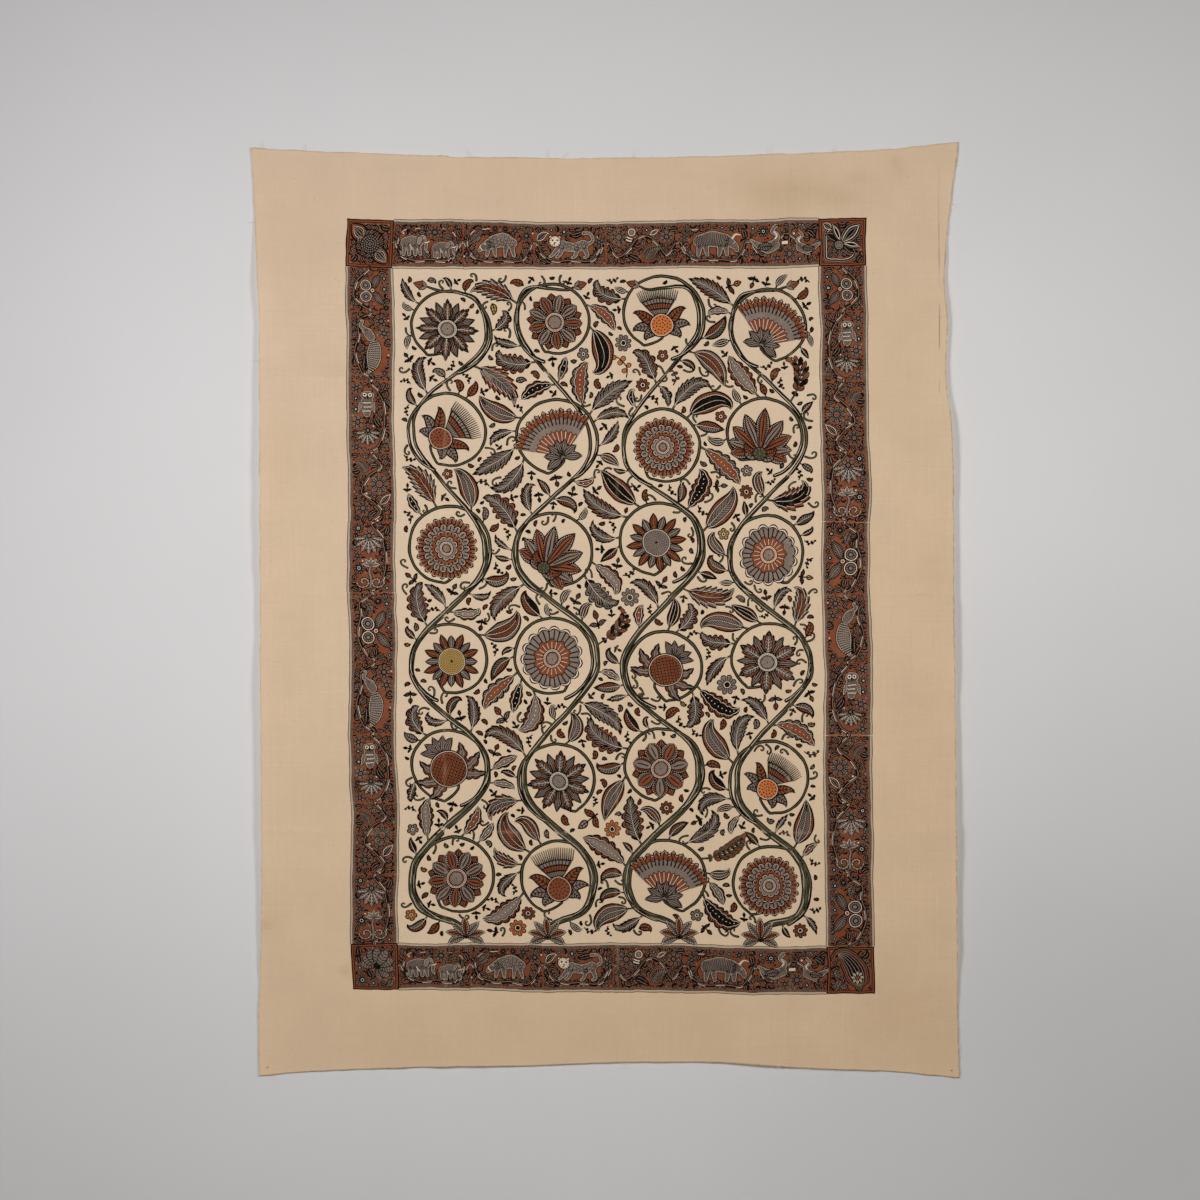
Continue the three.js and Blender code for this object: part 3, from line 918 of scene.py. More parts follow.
class Ground:
    """A map of how far each place is from the nearest drawn shape, so that motifs keep clear."""

    REACH = 60.0

    def __init__(self, half_width, half_height, cell=2.0):
        self.cell = cell
        self.half = np.array([half_width, half_height], float)
        self.x = np.arange(-half_width, half_width + cell, cell)
        self.y = np.arange(-half_height, half_height + cell, cell)
        self.clear = np.minimum(half_width - np.abs(self.x)[None], half_height - np.abs(self.y)[:, None])

    def add(self, discs):
        """Marks round patches as drawn: x, y, radius."""
        for x, y, radius in np.asarray(discs, float):
            reach = radius + self.REACH
            across = slice(*np.searchsorted(self.x, (x - reach, x + reach)))
            up = slice(*np.searchsorted(self.y, (y - reach, y + reach)))
            if across.start == across.stop or up.start == up.stop:
                continue
            away = np.hypot(self.x[across][None] - x, self.y[up][:, None] - y) - radius
            self.clear[up, across] = np.minimum(self.clear[up, across], away)

    def room(self, discs):
        """The least gap between these patches and what is drawn or the edge."""
        column = np.rint((discs[:, 0] + self.half[0]) / self.cell).astype(int)
        row = np.rint((discs[:, 1] + self.half[1]) / self.cell).astype(int)
        if column.min() < 0 or row.min() < 0 or column.max() >= len(self.x) or row.max() >= len(self.y):
            return -1.0
        return (self.clear[row, column] - discs[:, 2]).min()

    def widest(self):
        """The place with the most room round it, and that room."""
        row, column = np.unravel_index(self.clear.argmax(), self.clear.shape)
        return self.x[column], self.y[row], self.clear[row, column]


def line_discs(points, width):
    """Round patches along a stem."""
    points = np.asarray(points, float)
    return np.column_stack([points, np.broadcast_to(np.asarray(width, float) / 2, len(points))])


# The field: vines that wind up in columns, each bend holding a scroll that ends in a flower.

FIELD_SEED = 41
VINE_COLUMNS = 4
VINE_BENDS = 6
VINE_SWING = 66
VINE_WIDTH = 8.6
SCROLL_WIDTH = 6.4
SCROLL_RADIUS = (67, 76)
FLOWER_RADIUS = 53
LEAF_LENGTHS = [84, 74, 65, 57, 50, 43, 37, 31, 26]
LEAF_GAP = 1.7
LEAST_ROOM = 6.2


def tuft(pen, radius):
    """Broad leaves that fan from the foot of a stem."""
    for k, turn in enumerate((-1.5, 1.5, -1.0, 1.0, -0.5, 0.5, 0.0)):
        blade = Blade(radius * (1.15 - 0.1 * abs(turn)), radius * 0.42, bend=0.6 * turn, fullest=0.5)
        at = pen.at(turn=turn, up=k // 2 * 2)
        blade.coats(at, 0, (DARK, 0), (PALE, 1.6), (RUST if k // 2 % 2 else GREY, 2.4))
        blade.veins(at, DARK, 3, 8, 0.1, 0.8, 1.0, 0.7)
        blade.rib(at, DARK, 4, 1.8)


def field_stem(pen, ground, rng, column):
    """One main stem. Returns places for leaves, and the scrolls it holds: x, y and the side."""
    pitch = 2 * FIELD_HALF_WIDTH / VINE_COLUMNS
    rise = 2 * FIELD_HALF_HEIGHT / VINE_BENDS
    middle = (column + 0.5) * pitch - FIELD_HALF_WIDTH
    side = 1 if column % 2 else -1
    foot_x = middle - side * 22
    knots = [(foot_x, -FIELD_HALF_HEIGHT + 12), (foot_x + side * 14, -FIELD_HALF_HEIGHT + 34)]
    scrolls = []
    for bend in range(VINE_BENDS):
        y = (bend + 0.5) * rise - FIELD_HALF_HEIGHT + rng.uniform(-13, 13)
        swing = VINE_SWING + rng.uniform(-10, 5)
        knots.append((middle + side * swing * 0.72, y - rise * 0.26))
        knots.append((middle + side * swing, y))
        knots.append((middle + side * swing * 0.7, y + rise * 0.27))
        scrolls.append((middle + side * rng.uniform(-10, 1), y + rng.uniform(-6, 6), side))
        side = -side
    knots.append((middle + side * 16, FIELD_HALF_HEIGHT - 36))
    knots.append((middle + side * 34, FIELD_HALF_HEIGHT - 31))
    stem = curve(knots, 190)
    swell = 2.5 * np.sin(np.linspace(0, 9, len(stem))) ** 2
    width = np.linspace(VINE_WIDTH + 3.5, 3.5, len(stem)) + swell
    vine(pen, stem, width)
    ground.add(line_discs(stem, width))
    heading = headings(stem)
    tuft(pen.at(foot_x, -FIELD_HALF_HEIGHT + 9, up=3), 34)
    ground.add([(foot_x + shift, -FIELD_HALF_HEIGHT + 21, 17) for shift in (-15, 0, 15)])
    bud(pen.at(*stem[-1], math.atan2(*heading[-1]), up=3), 25)
    ground.add([(*(stem[-1] + heading[-1] * 12), 11)])
    return leaf_places(stem, width / 2, 4, 4, 3), scrolls


def leaf_places(line, half, first, last, step):
    """Places for leaves along a stem, clear of its ends: x, y, heading, half width."""
    heading = headings(line)
    kept = range(first, len(line) - last, step)
    return [(*line[k], math.atan2(*heading[k]), half[k]) for k in kept]


def field_scroll(pen, ground, rng, number, cx, cy, way):
    """A side stem that winds round a flower. Returns places for leaves."""
    size = FLOWER_RADIUS + rng.uniform(-5, 3)
    wide = rng.uniform(*SCROLL_RADIUS)
    start = way * (math.pi - 0.35 + rng.uniform(-0.15, 0.1))
    turn = -way * rng.uniform(5.2, 6.7)
    t = np.linspace(0, 1, 60)
    angle = start + turn * t
    radius = wide - (wide - size - 3) * t**1.6
    scroll = np.stack([cx + radius * np.sin(angle), cy + radius * np.cos(angle)], 1)
    edge = FIELD_HALF_WIDTH - 12
    scroll[:, 0] = np.clip(scroll[:, 0], -edge, edge)
    foot = angle[-1] - way * 0.55
    inward = [(cx + size * r * math.sin(foot), cy + size * r * math.cos(foot)) for r in (0.72, 0.3)]
    scroll = np.concatenate([scroll[:-3], curve([scroll[-3], scroll[-1], *inward], 12)[1:]])
    width = np.linspace(SCROLL_WIDTH, 4.6, len(scroll))
    vine(pen.at(up=1), scroll, width)
    kind = FLOWERS[(number * 4 + number // VINE_BENDS) % len(FLOWERS)]
    kind(pen.at(cx, cy, foot + math.pi, up=4), size, rng)
    ground.add([(cx, cy, size + 1.5)])
    ground.add(line_discs(scroll, width))
    return leaf_places(scroll, width / 2, 4, 16, 2)


def field_vines(pen, ground, rng):
    """The main stems, then the scrolls. Returns places for leaves."""
    places, scrolls = [], []
    for column in range(VINE_COLUMNS):
        more_places, more_scrolls = field_stem(pen, ground, rng, column)
        places += more_places
        scrolls += more_scrolls
    for number, scroll in enumerate(scrolls):
        places += field_scroll(pen, ground, rng, number, *scroll)
    return places


def grow_leaves(pen, ground, places, rng, lengths, gap, choose, wood="olive", hook=1.7):
    """Leaves from every stem, the longest first, wherever one fits."""
    for length in lengths:
        for k in rng.permutation(len(places)):
            x, y, heading, half = places[k]
            for side in rng.permutation((-1, 1)):
                for _ in range(3):
                    turn = heading + side * rng.uniform(0.55, 1.5)
                    kind, dyes = choose(length, rng)
                    bend = side * rng.uniform(-1.1, 1.3)
                    curl = rng.choice((0.0, 0.5, 1.0)) * hook * np.sign(bend)
                    blade = make_blade(kind, length * rng.uniform(0.9, 1.04), bend, curl)
                    foot = half + length * 0.08
                    discs = blade.discs(foot)
                    cos, sin = math.cos(turn), math.sin(turn)
                    spots = np.column_stack([
                        x + discs[:, 0] * cos + discs[:, 1] * sin,
                        y - discs[:, 0] * sin + discs[:, 1] * cos,
                        discs[:, 2],
                    ])
                    if ground.room(spots) < gap:
                        continue
                    at = pen.at(x, y, turn)
                    stalk(at, foot + 2, 1.6 + length * 0.018, wood)
                    LEAF_KINDS[kind][0](at.at(0, foot, up=4), blade, *dyes)
                    ground.add(spots)
                    break


def choose_field_leaf(length, rng):
    """A kind of leaf for its length, and its dyes."""
    if length >= 60:
        kinds = ["saw", "plumed", "rimmed", "lobed", "hatched", "beaded", "saw"]
    elif length >= 34:
        kinds = ["rimmed", "halved", "lobed", "hatched", "beaded", "saw"]
    else:
        kinds = ["small", "halved", "small", "rimmed"]
    kind = kinds[int(rng.integers(len(kinds)))]
    margin, middle = LEAF_DYES[int(rng.integers(len(LEAF_DYES)))]
    if kind in ("plumed", "halved") and rng.random() < 0.3:
        middle = "olive"
    return kind, (margin, middle)


def field_fillers(pen, ground, rng):
    """Small motifs in what room is left, the widest gaps first."""
    dyes = [RUST, GREY, "orange", "mustard"]
    shares = [0.5, 0.36, 0.09, 0.05]
    while True:
        x, y, room = ground.widest()
        if room < LEAST_ROOM:
            return
        at = pen.at(x, y, rng.uniform(0, TAU), up=2)
        dye = str(rng.choice(dyes, p=shares))
        choice = rng.random()
        if room > 12 and choice < 0.4:
            rosette_small(at, min(room - 2.4, 21), dye)
        elif room > 10 and choice < 0.55:
            berries(at.at(0, -room + 1.8), 2 * room - 4, dye)
        elif room > 9 and choice < 0.9:
            sprig(at.at(0, -room + 1.6), 2 * room - 3.2, dye)
        elif choice < 0.5:
            tendril(at.at(-room * 0.3, -room + 2.5, flip=rng.random() < 0.5), 2.3 * room)
        else:
            bend = rng.uniform(0.6, 1.6) * rng.choice((-1, 1))
            blade = Blade(2 * room - 3.0, room * 0.95, bend=bend, curl=bend, fullest=0.4)
            leaf_small(at.at(-bend * room * 0.3, -room + 1.6), blade, dye)
        ground.add([(x, y, room)])


def draw_field(pots):
    rng = np.random.default_rng(FIELD_SEED)
    pen = Pen(pots)
    ground = Ground(FIELD_HALF_WIDTH - 9, FIELD_HALF_HEIGHT - 9)
    places = field_vines(pen, ground, rng)
    grow_leaves(pen, ground, places, rng, LEAF_LENGTHS, LEAF_GAP, choose_field_leaf)
    field_fillers(pen, ground, rng)


# The border: hand blocks of beasts, birds and flowers on a rust ground, set end to end.

BORDER_SEED = 5
BAND_HALF = 33.6
ALONG_TOP = 121.0
ALONG_SIDE = 119.5
SIDE_BLOCKS = 9
SHORT_BLOCK = 2 * (PRINT_HALF_HEIGHT - CORNER_SIDE) - SIDE_BLOCKS * ALONG_SIDE
BLOCK_VINE = 6.0
BLOCK_LEAF_LENGTHS = [34, 28, 23, 19, 15.5, 12.5, 10]
BLOCK_CELL = 1.0


def beast(pen, limbs, up=0):
    """A body put together from thick round-ended strokes: each its points and its widths."""
    for step, (dye, grow) in enumerate(((DARK, 3.2), (PALE, 0.8), (GREY, 0.0))):
        for points, widths in limbs:
            line = curve(points, 4 * len(points))
            at = np.linspace(0, 1, len(line))
            wide = np.interp(at, np.linspace(0, 1, len(widths)), widths)
            pen.line(dye, line, wide + grow, up + step, blunt=True)


def limb_spots(pen, limbs, dye, radius, step, up, slant=0.0):
    """Staggered spots, or slanted strokes, all over some limbs."""
    spots = []
    for points, widths in limbs:
        line = curve(points, 40)
        run = np.concatenate([[0.0], np.cumsum(np.hypot(*np.diff(line, axis=0).T))])
        start, end = -widths[0] * 0.4, run[-1] + widths[-1] * 0.4
        way = headings(line)
        for k, place in enumerate(np.arange(start, end, step)):
            inside = np.clip(place, 0, run[-1])
            middle = np.array([np.interp(inside, run, row) for row in line.T])
            along = np.array([np.interp(inside, run, row) for row in way.T])
            half = np.interp(inside / run[-1], np.linspace(0, 1, len(widths)), widths) / 2
            past = place - inside
            half = math.sqrt(max(half * half - past * past, 0.0)) - radius - 0.2
            middle = middle + along * past
            across = np.array([along[1], -along[0]])
            offset = (0.5 if k % 2 else 0.0) * step
            for side in np.arange(offset - step * 12, step * 12, step):
                if abs(side) < half:
                    spots.append(middle + across * side)
    spots = np.array(spots).reshape(-1, 2)
    if slant:
        lean = np.array([slant * 0.5, slant])
        pen.spikes(dye, spots - lean, spots + lean, radius * 2, radius * 1.4, up)
    else:
        pen.dots(dye, spots, radius, up, 5)


def legs(feet, top, foot, widths):
    """Straight legs: each its x at the body and how far its foot stands forward of that."""
    return [([(x, top), (x + lean, foot)], widths) for x, lean in feet]


def elephant(pen):
    four = legs(((-12, -1), (-5, 1), (5, 0), (11, 2)), -3, -15, [6.5, 5])
    body = ([(-11, 1), (0, 3), (10, 2)], [14, 18, 15])
    trunk = ([(18, 5), (23, -1), (22, -8), (25, -13)], [8, 5.5, 3.6, 2.4])
    head = ([(17, 7), (18, 5)], [12, 11])
    beast(pen, four + [body, head, trunk])
    limb_spots(pen, [body], DARK, 0.85, 2.3, 3)
    limb_spots(pen, four + [trunk], DARK, 0.7, 2.1, 3, slant=0.7)
    beast(pen, [([(13, 7), (11, 2)], [7, 5])], up=4)
    pen.line(DARK, curve([(-18, 4), (-22, -2), (-21, -9)], 8), 1.4, 3)
    pen.line(PALE, [(20, 1), (25, 1.5), (28, 4)], 1.6, 6)
    pen.spikes(PALE, [(-3, -1)], [(1, -9)], 1.6, 0.9, 5)
    pen.look(19.5, 8, 1.3, 0.7, 6)
    return [(-10, 0, 14), (8, 0, 14), (20, 0, 10)]


def boar(pen):
    four = legs(((-17, -3), (-8, 2), (10, -2), (18, 3)), -4, -17, [7, 3.6])
    body = ([(-17, 2), (-4, 7), (12, 4)], [15, 21, 18])
    head = ([(18, 1), (28, -4), (33, -8)], [15, 9, 5])
    beast(pen, four + [body, head])
    limb_spots(pen, [body], DARK, 1.0, 2.7, 3)
    limb_spots(pen, [body], PALE, 0.5, 5.4, 4)
    limb_spots(pen, four + [head], DARK, 0.75, 2.2, 3, slant=0.7)
    crest = np.linspace(-20, 18, 16)
    top = 11.5 + 4 * np.cos(crest / 20)
    bristles = np.stack([crest, top - 2], 1), np.stack([crest - 2.4, top + 4.5], 1)
    pen.spikes(DARK, *bristles, 1.5, 0.7)
    pen.line(DARK, curve([(-25, 3), (-31, 8), (-28, 13), (-25, 10)], 10), 1.5, 1)
    pen.line(PALE, [(28, -8), (32, -3), (31, 0)], 1.3, 4)
    pen.look(24, 1.5, 1.4, 0.75, 4)
    return [(-16, -1, 16), (0, 1, 18), (16, -2, 16), (29, -5, 9)]


def cat(pen):
    paws = []
    for x, lean, foot, widths in (
        (-22, -4, -13, [7, 4.6, 3.6]),
        (-11, 3, -13, [7, 4.6, 3.6]),
        (10, 5, -12, [6.5, 4.4, 3.6]),
        (17, 8, -12, [6.5, 4.4, 3.6]),
    ):
        paws.append(([(x, -2), (x + lean, foot), (x + lean + 4, foot - 3)], widths))
    body = ([(-20, 3), (-6, 0), (10, 3)], [15, 13, 15])
    tail = ([(-26, 4), (-34, 10), (-30, 20), (-20, 21)], [4.5, 3.6, 3.4, 4.4])
    beast(pen, paws + [tail, body])
    limb_spots(pen, [body], DARK, 1.0, 2.7, 3)
    limb_spots(pen, [body], PALE, 0.55, 5.4, 4)
    limb_spots(pen, paws + [tail], DARK, 0.75, 2.2, 3, slant=0.6)
    at = pen.at(22, 9, up=3)
    for side in (-1, 1):
        at.rounds(0, (DARK, 3.4), (PALE, 2.0), x=side * 6.5, y=6.5, sides=8)
    at.rounds(1, (DARK, 9.6), (PALE, 8.2))
    at.dots(DARK, [(-3.4, 2), (3.4, 2)], 1.5, 3)
    at.spikes(DARK, [(-2, -1.8), (0, -2), (0, -4)], [(2, -1.8), (0, -5), (3, -5.6)], 1.5, 0.9, 3)
    at.spikes(DARK, *rays(6.2, 8.0, 14), 0.9, 0.7, 3)
    return [(-20, -1, 14), (-4, -2, 14), (10, -2, 13), (22, 9, 12), (-31, 14, 9), (20, -10, 8)]


def buffalo(pen):
    four = legs(((-20, -2), (-11, 2), (11, -2), (19, 1)), -4, -17, [8, 4.6])
    body = ([(-20, 3), (0, 6), (17, 3)], [18, 22, 19])
    head = ([(24, 2), (33, -6), (35, -11)], [13, 9, 6])
    beast(pen, four + [body, head])
    limb_spots(pen, [body], DARK, 0.7, 2.5, 3, slant=1.1)
    limb_spots(pen, four + [head], DARK, 0.65, 2.2, 3, slant=0.8)
    horn = curve([(28, 6), (34, 12), (42, 11)], 8)
    pen.line(PALE, horn, [3.4, 3, 2.8, 2.5, 2.2, 1.8, 1.4, 0.8], 3)
    pen.look(31, -1, 1.4, 0.75, 3)
    pen.line(DARK, curve([(-29, 4), (-34, -3), (-33, -12)], 8), 1.5, 1)
    return [(-19, 0, 16), (0, 2, 18), (17, 0, 16), (31, -4, 11), (36, 10, 6)]


def swan(pen):
    """A bird with a long curved neck."""
    body = ([(-12, -6), (0, -8), (11, -4)], [8, 15, 13])
    neck = ([(10, -2), (15, 8), (7, 15), (12, 22)], [8, 5, 4.4, 5])
    tail = ([(-12, -6), (-24, 2)], [9, 3])
    beast(pen, [body, neck, tail])
    limb_spots(pen, [body, tail], DARK, 0.8, 2.3, 3)
    limb_spots(pen, [neck], DARK, 0.7, 2.2, 3, slant=0.5)
    pen.line(PALE, curve([(11, 4), (13.6, 9), (9, 14)], 10), 2.2, 3)
    leaf_grey(pen.at(8, -6, -1.5, up=3), Blade(24, 12, bend=-0.5, fullest=0.4))
    pen.spikes(DARK, [(13, 23)], [(19, 20)], 2.2, 0.6, 2)
    pen.dots(DARK, [(12.4, 22.6)], 0.9, 4)
    pen.spikes(DARK, [(-2, -15), (4, -15)], [(-3, -22), (4, -22)], 1.3, 1.3, 1)
    return [(-14, -4, 11), (2, -8, 11), (11, 6, 8), (11, 19, 7)]


def peacock(pen):
    """A bird whose scaled tail hangs in one long curve."""
    tail = Blade(64, 25, bend=1.15, fullest=0.46)
    at = pen.at(4, 12, math.pi - 0.5)
    tail.coats(at, 0, (DARK, 0), (PALE, 1.2), (DARK, 1.9), (GREY, 2.8))
    for share in (-0.7, -0.42, -0.14, 0.14, 0.42, 0.7):
        lag = 0.03 if round(share * 100) % 4 else 0.0
        tail.beads(at, DARK, 4, 15, 1.15, share, 0.08 + lag, 0.88)
        tail.beads(at, PALE, 5, 15, 0.45, share, 0.1 + lag, 0.9)
    body = ([(4, 12), (-2, 20), (-6, 22)], [13, 14, 8])
    neck = ([(-4, 24), (-12, 30), (-10, 38)], [7, 4.6, 5.5])
    beast(pen, [body, neck], up=6)
    limb_spots(pen, [body, neck], DARK, 0.85, 2.3, 9)
    pen.spikes(DARK, [(-12, 38)], [(-18, 35)], 2.4, 0.6, 8)
    pen.look(-10.6, 38.6, 1.2, 0.6, 9)
    crest = np.array([(-9, 41), (-8, 42), (-6, 42)])
    pen.spikes(DARK, crest, crest + [(-3, 6), (0, 7), (4, 5)], 1.0, 1.6, 6)
    return [(1, 16, 11), (-8, 32, 9), (12, 0, 13), (20, -14, 12), (20, -28, 11), (14, -40, 8)]


def owl(pen):
    body = ([(0, 4), (0, -6), (1, -16)], [20, 22, 13])
    head = ([(-4, 14), (4, 14)], [15, 15])
    beast(pen, [body, head])
    limb_spots(pen, [body, head], DARK, 0.7, 2.3, 3, slant=0.8)
    for side in (-1, 1):
        pen.spikes(DARK, [(side * 7, 17)], [(side * 9.5, 25)], 5.0, 0.8, 1)
        wing = Blade(24, 8.5, bend=-0.25 * side, fullest=0.4)
        at = pen.at(side * 10, 6, math.pi - side * 0.12, up=3)
        wing.coats(at, 0, (DARK, 0), (PALE, 1.0), (GREY, 1.7))
        wing.veins(at, DARK, 3, 6, 0.0, 0.9, 0.8, 0.7)
        pen.at(side * 4.6, 15, up=3).rounds(0, (DARK, 4.6), (PALE, 3.7), (DARK, 1.9))
    pen.spikes(DARK, [(0, 13)], [(0, 8)], 3.2, 0.5, 6)
    for k in range(3):
        y = 2 - 7.0 * k
        xs = np.arange(-2, 3) * 2.9 + (1.4 if k % 2 else 0)
        for side in (-1, 1):
            feather = np.stack([xs + 1.2 * side, xs * 0 + y], 1)
            pen.spikes(PALE, feather, np.stack([xs, xs * 0 + y - 2.1], 1), 0.9, 0.9, 4)
    for side in (-1, 1):
        claws = [(side * 3.5 + spread, -27) for spread in (-3, 0, 3)]
        pen.spikes(DARK, [(side * 3.5, -21)] * 3, claws, 1.4, 0.9, 1)
    return [(0, 14, 13), (0, 0, 14), (0, -14, 12)]


def block_flower(pen, radius, up=0, petals=8, dark=False):
    """A round flower for the border: grey petals with dark veins, or dark ones with grey lines."""
    for k, at in pen.around(petals, radius * 0.25, up=up):
        blade = Blade(radius * 0.76, radius * 4.6 / petals, fullest=0.6)
        blade.area(at, DARK, k % 2)
        if dark:
            blade.strakes(at, GREY, 4, (-0.4, 0.4), 1.1, 0.2, 0.95)
            continue
        blade.area(at, GREY, 3, inset=1.3)
        blade.veins(at, DARK, 4, max(2, int(radius / 4)), 0.0, 0.8, 1.0, 0.8)
        blade.rib(at, DARK, 4, 1.5)
    rim, heart = (PALE, DARK) if dark else (GREY, RUST)
    middle = radius * 0.36
    pen.rounds(up + 5, (DARK, middle), (rim, middle - 1.1), (heart, middle - 1.9))


def butterfly_flower(pen):
    """Two round pale-rimmed lobes over a long scaled leaf."""
    for x, y in ((-13, 10), (-13, -14)):
        at = pen.at(x, y)
        at.rounds(0, (DARK, 12.8), (PALE, 11.2), (DARK, 9.9), (GREY, 8.2), (DARK, 5.0))
        at.circle(GREY, 3.2, 5)
        at.spikes(DARK, *rays(5.0, 8.4, 14), 1.3, 1.0, 4)
    for turn, long, bend in ((0.25, 40, 0.4), (2.75, 42, -0.5)):
        leaf = Blade(long, 17, bend=bend, fullest=0.5)
        at = pen.at(3, 0, turn)
        leaf.area(at, DARK, 0)
        leaf.area(at, GREY, 2, inset=1.5)
        for share in (-0.62, -0.25, 0.25, 0.62):
            leaf.beads(at, DARK, 3, 11, 1.35, share, 0.12, 0.88)
    pen.rounds(5, (DARK, 5.2), (PALE, 3.6), (RUST, 2.4), x=1, y=-1)
    return [(-13, 10, 13), (-13, -14, 13), (4, 0, 12), (8, 18, 12), (12, 32, 8), (12, -18, 12), (14, -33, 8)]


def palmette(pen, radius):
    """A fan of ribbed petals with pale lines, opening downwards from a round head."""
    for turn in (-1.3, 1.3, -0.87, 0.87, -0.43, 0.43, 0.0):
        blade = Blade(radius * (1.15 - 0.12 * abs(turn)), radius * 0.42, bend=0.2 * turn, fullest=0.66)
        at = pen.at(0, radius * 0.3, math.pi + turn)
        blade.coats(at, 0 if abs(turn) > 1 else 2, (DARK, 0), (GREY, 1.5))
        blade.veins(at, DARK, 4, 5, 0.1, 0.85, 1.2, 0.9)
        blade.rib(at, PALE, 5, 1.0, 0.15, 0.85)
    block_flower(pen.at(0, radius * 0.42), radius * 0.42, 5, 7)
    return [(0, radius * y, radius * r) for y, r in ((0.42, 0.46), (-0.25, 0.72), (-0.1, 0.75))]


def coil(pen):
    """A striped tendril wound into two rounds, with a bud on its end."""
    for side in (-1, 1):
        t = np.linspace(0, 1, 34)
        angle = side * (math.pi * 0.5 + t * 7.2)
        radius = 14.5 * (1 - 0.78 * t)
        line = np.stack([side * 13.5 + radius * np.sin(angle), -16 + radius * np.cos(angle) * 0.95], 1)
        pen.line(DARK, line, 6.0)
        pen.line(GREY, line, 2.8, 1)
        stripe = sideways(headings(line))[1::3] * 1.4
        pen.spikes(PALE, line[1::3] - stripe, line[1::3] + stripe, 0.8, 0.8, 2)
    stem = curve([(0, -28), (1, -10), (-2, 6), (2, 16)], 14)
    pen.line(DARK, stem, 6.0, 1)
    pen.line(GREY, stem, 3.6, 2)
    for turn in (-1.1, 1.1, -0.55, 0.55, 0.0):
        blade = Blade(20, 9, bend=0.5 * turn, fullest=0.5)
        at = pen.at(2, 16, turn, up=3)
        blade.coats(at, 0, (DARK, 0), (PALE, 0.9), (GREY, 1.7))
        blade.rib(at, DARK, 3, 1.3)
    return [(-13, -16, 16), (13, -16, 16), (0, 0, 6), (2, 24, 14)]


def leaf_dark(pen, blade, margin=DARK, middle=GREY):
    """A leaf all in the darkest dye, with a grey stroke down each side."""
    blade.area(pen, DARK, 0)
    side = 1 if blade.bend > 0 else -1
    blade.strakes(pen, GREY, 1, (0.42 * side,), 1.1, 0.1, 0.9)
    if blade.length > 11:
        blade.strakes(pen, GREY, 1, (-0.36 * side,), 0.9, 0.15, 0.75)


def leaf_pale_rimmed(pen, blade, margin=GREY, middle=DARK):
    """A dark leaf with a pale line inside its edge and grey strokes at its heart."""
    blade.coats(pen, 0, (DARK, 0), (PALE, 1.2), (DARK, 2.3))
    blade.strakes(pen, GREY, 3, (-0.28, 0.28) if blade.length > 16 else (0.0,), 1.3, 0.12, 0.85)


def leaf_grey(pen, blade, margin=GREY, middle=DARK):
    """A grey leaf with close dark veins."""
    blade.coats(pen, 0, (DARK, 0), (GREY, 1.4))
    blade.veins(pen, DARK, 2, max(3, int(blade.length / 3.0)), 0.0, 0.95, 1.25, 0.9)
    blade.rib(pen, DARK, 3, 1.5)


LEAF_KINDS["dark"] = (leaf_dark, 0.52, 0.4, "lobed", 12, 0.25)
LEAF_KINDS["pale"] = (leaf_pale_rimmed, 0.54, 0.42, "plain", 0, 0.0)
LEAF_KINDS["grey"] = (leaf_grey, 0.58, 0.42, "lobed", 12, 0.3)


def choose_block_leaf(length, rng):
    kinds = ["grey", "pale", "dark", "dark"] if length > 18 else ["dark", "grey", "dark", "dark"]
    return kinds[int(rng.integers(4))], (GREY, DARK)


def fill_block(pen, ground, rng, flowers=True):
    """Flowers, curled leaves and spots in what room is left of a block."""
    while True:
        x, y, room = ground.widest()
        if room < 1.7:
            return
        at = pen.at(x, y, rng.uniform(0, TAU), up=3)
        if flowers and room > 6.0:
            block_flower(at, min(room - 0.3, 11), 0, 6, dark=rng.random() < 0.6)
        elif room > 2.4:
            bend = rng.uniform(0.6, 1.5) * rng.choice((-1, 1))
            room = min(room, 6.5)
            blade = Blade(2.75 * room, room * 1.9, bend=bend, curl=bend, fullest=0.42)
            draw = leaf_grey if room > 3.4 and rng.random() < 0.4 else leaf_dark
            draw(at.at(-bend * room * 0.3, -room * 1.2), blade)
        else:
            shade = rng.random()
            dye = PALE if flowers and shade < 0.04 else GREY if shade < 0.25 else DARK
            at.dots(dye, [(0, 0)], room - 0.45, 0, 5)
        ground.add([(x, y, room + 0.1)])


def block(half, seed, vines, subjects):
    """One hand block: its stems, its subjects, and leaves and beads in the room that is left."""
    pots = {}
    rng = np.random.default_rng(BORDER_SEED + seed)
    pen = Pen(pots)
    ground = Ground(half[0] - 0.5, half[1] - 0.5, BLOCK_CELL)
    places = []
    for number, knots in enumerate(vines):
        line = curve(knots, 12 * len(knots))
        width = np.linspace(BLOCK_VINE, 1.4 if number else BLOCK_VINE, len(line))
        pen.line(DARK, line, width, 1, blunt=True)
        across = sideways(headings(line)) * width[:, None]
        broken = np.sin(np.arange(len(line)) * 0.42 + seed) > 0.1
        pen.line(PALE, line + across * 0.24, np.where(broken, 1.0, 0.0), 2)
        pen.line(GREY, line - across * 0.15, width * 0.19, 2)
        ground.add(line_discs(line, width))
        places += leaf_places(line, np.full(len(line), BLOCK_VINE / 2), 2, 2, 2)
    for draw, x, y, *placing in subjects:
        turn, size, flip = (*placing, *(0, 1, False)[len(placing):])
        at = pen.at(x, y, turn, size, flip)
        discs = np.array(draw(at.at(up=6)), float)
        ground.add(np.column_stack([at.place(discs[:, :2]), discs[:, 2] * size]))
    grow_leaves(pen, ground, places, rng, BLOCK_LEAF_LENGTHS, 0.2, choose_block_leaf, GREY, 1.1)
    fill_block(pen, ground, rng)
    return pots


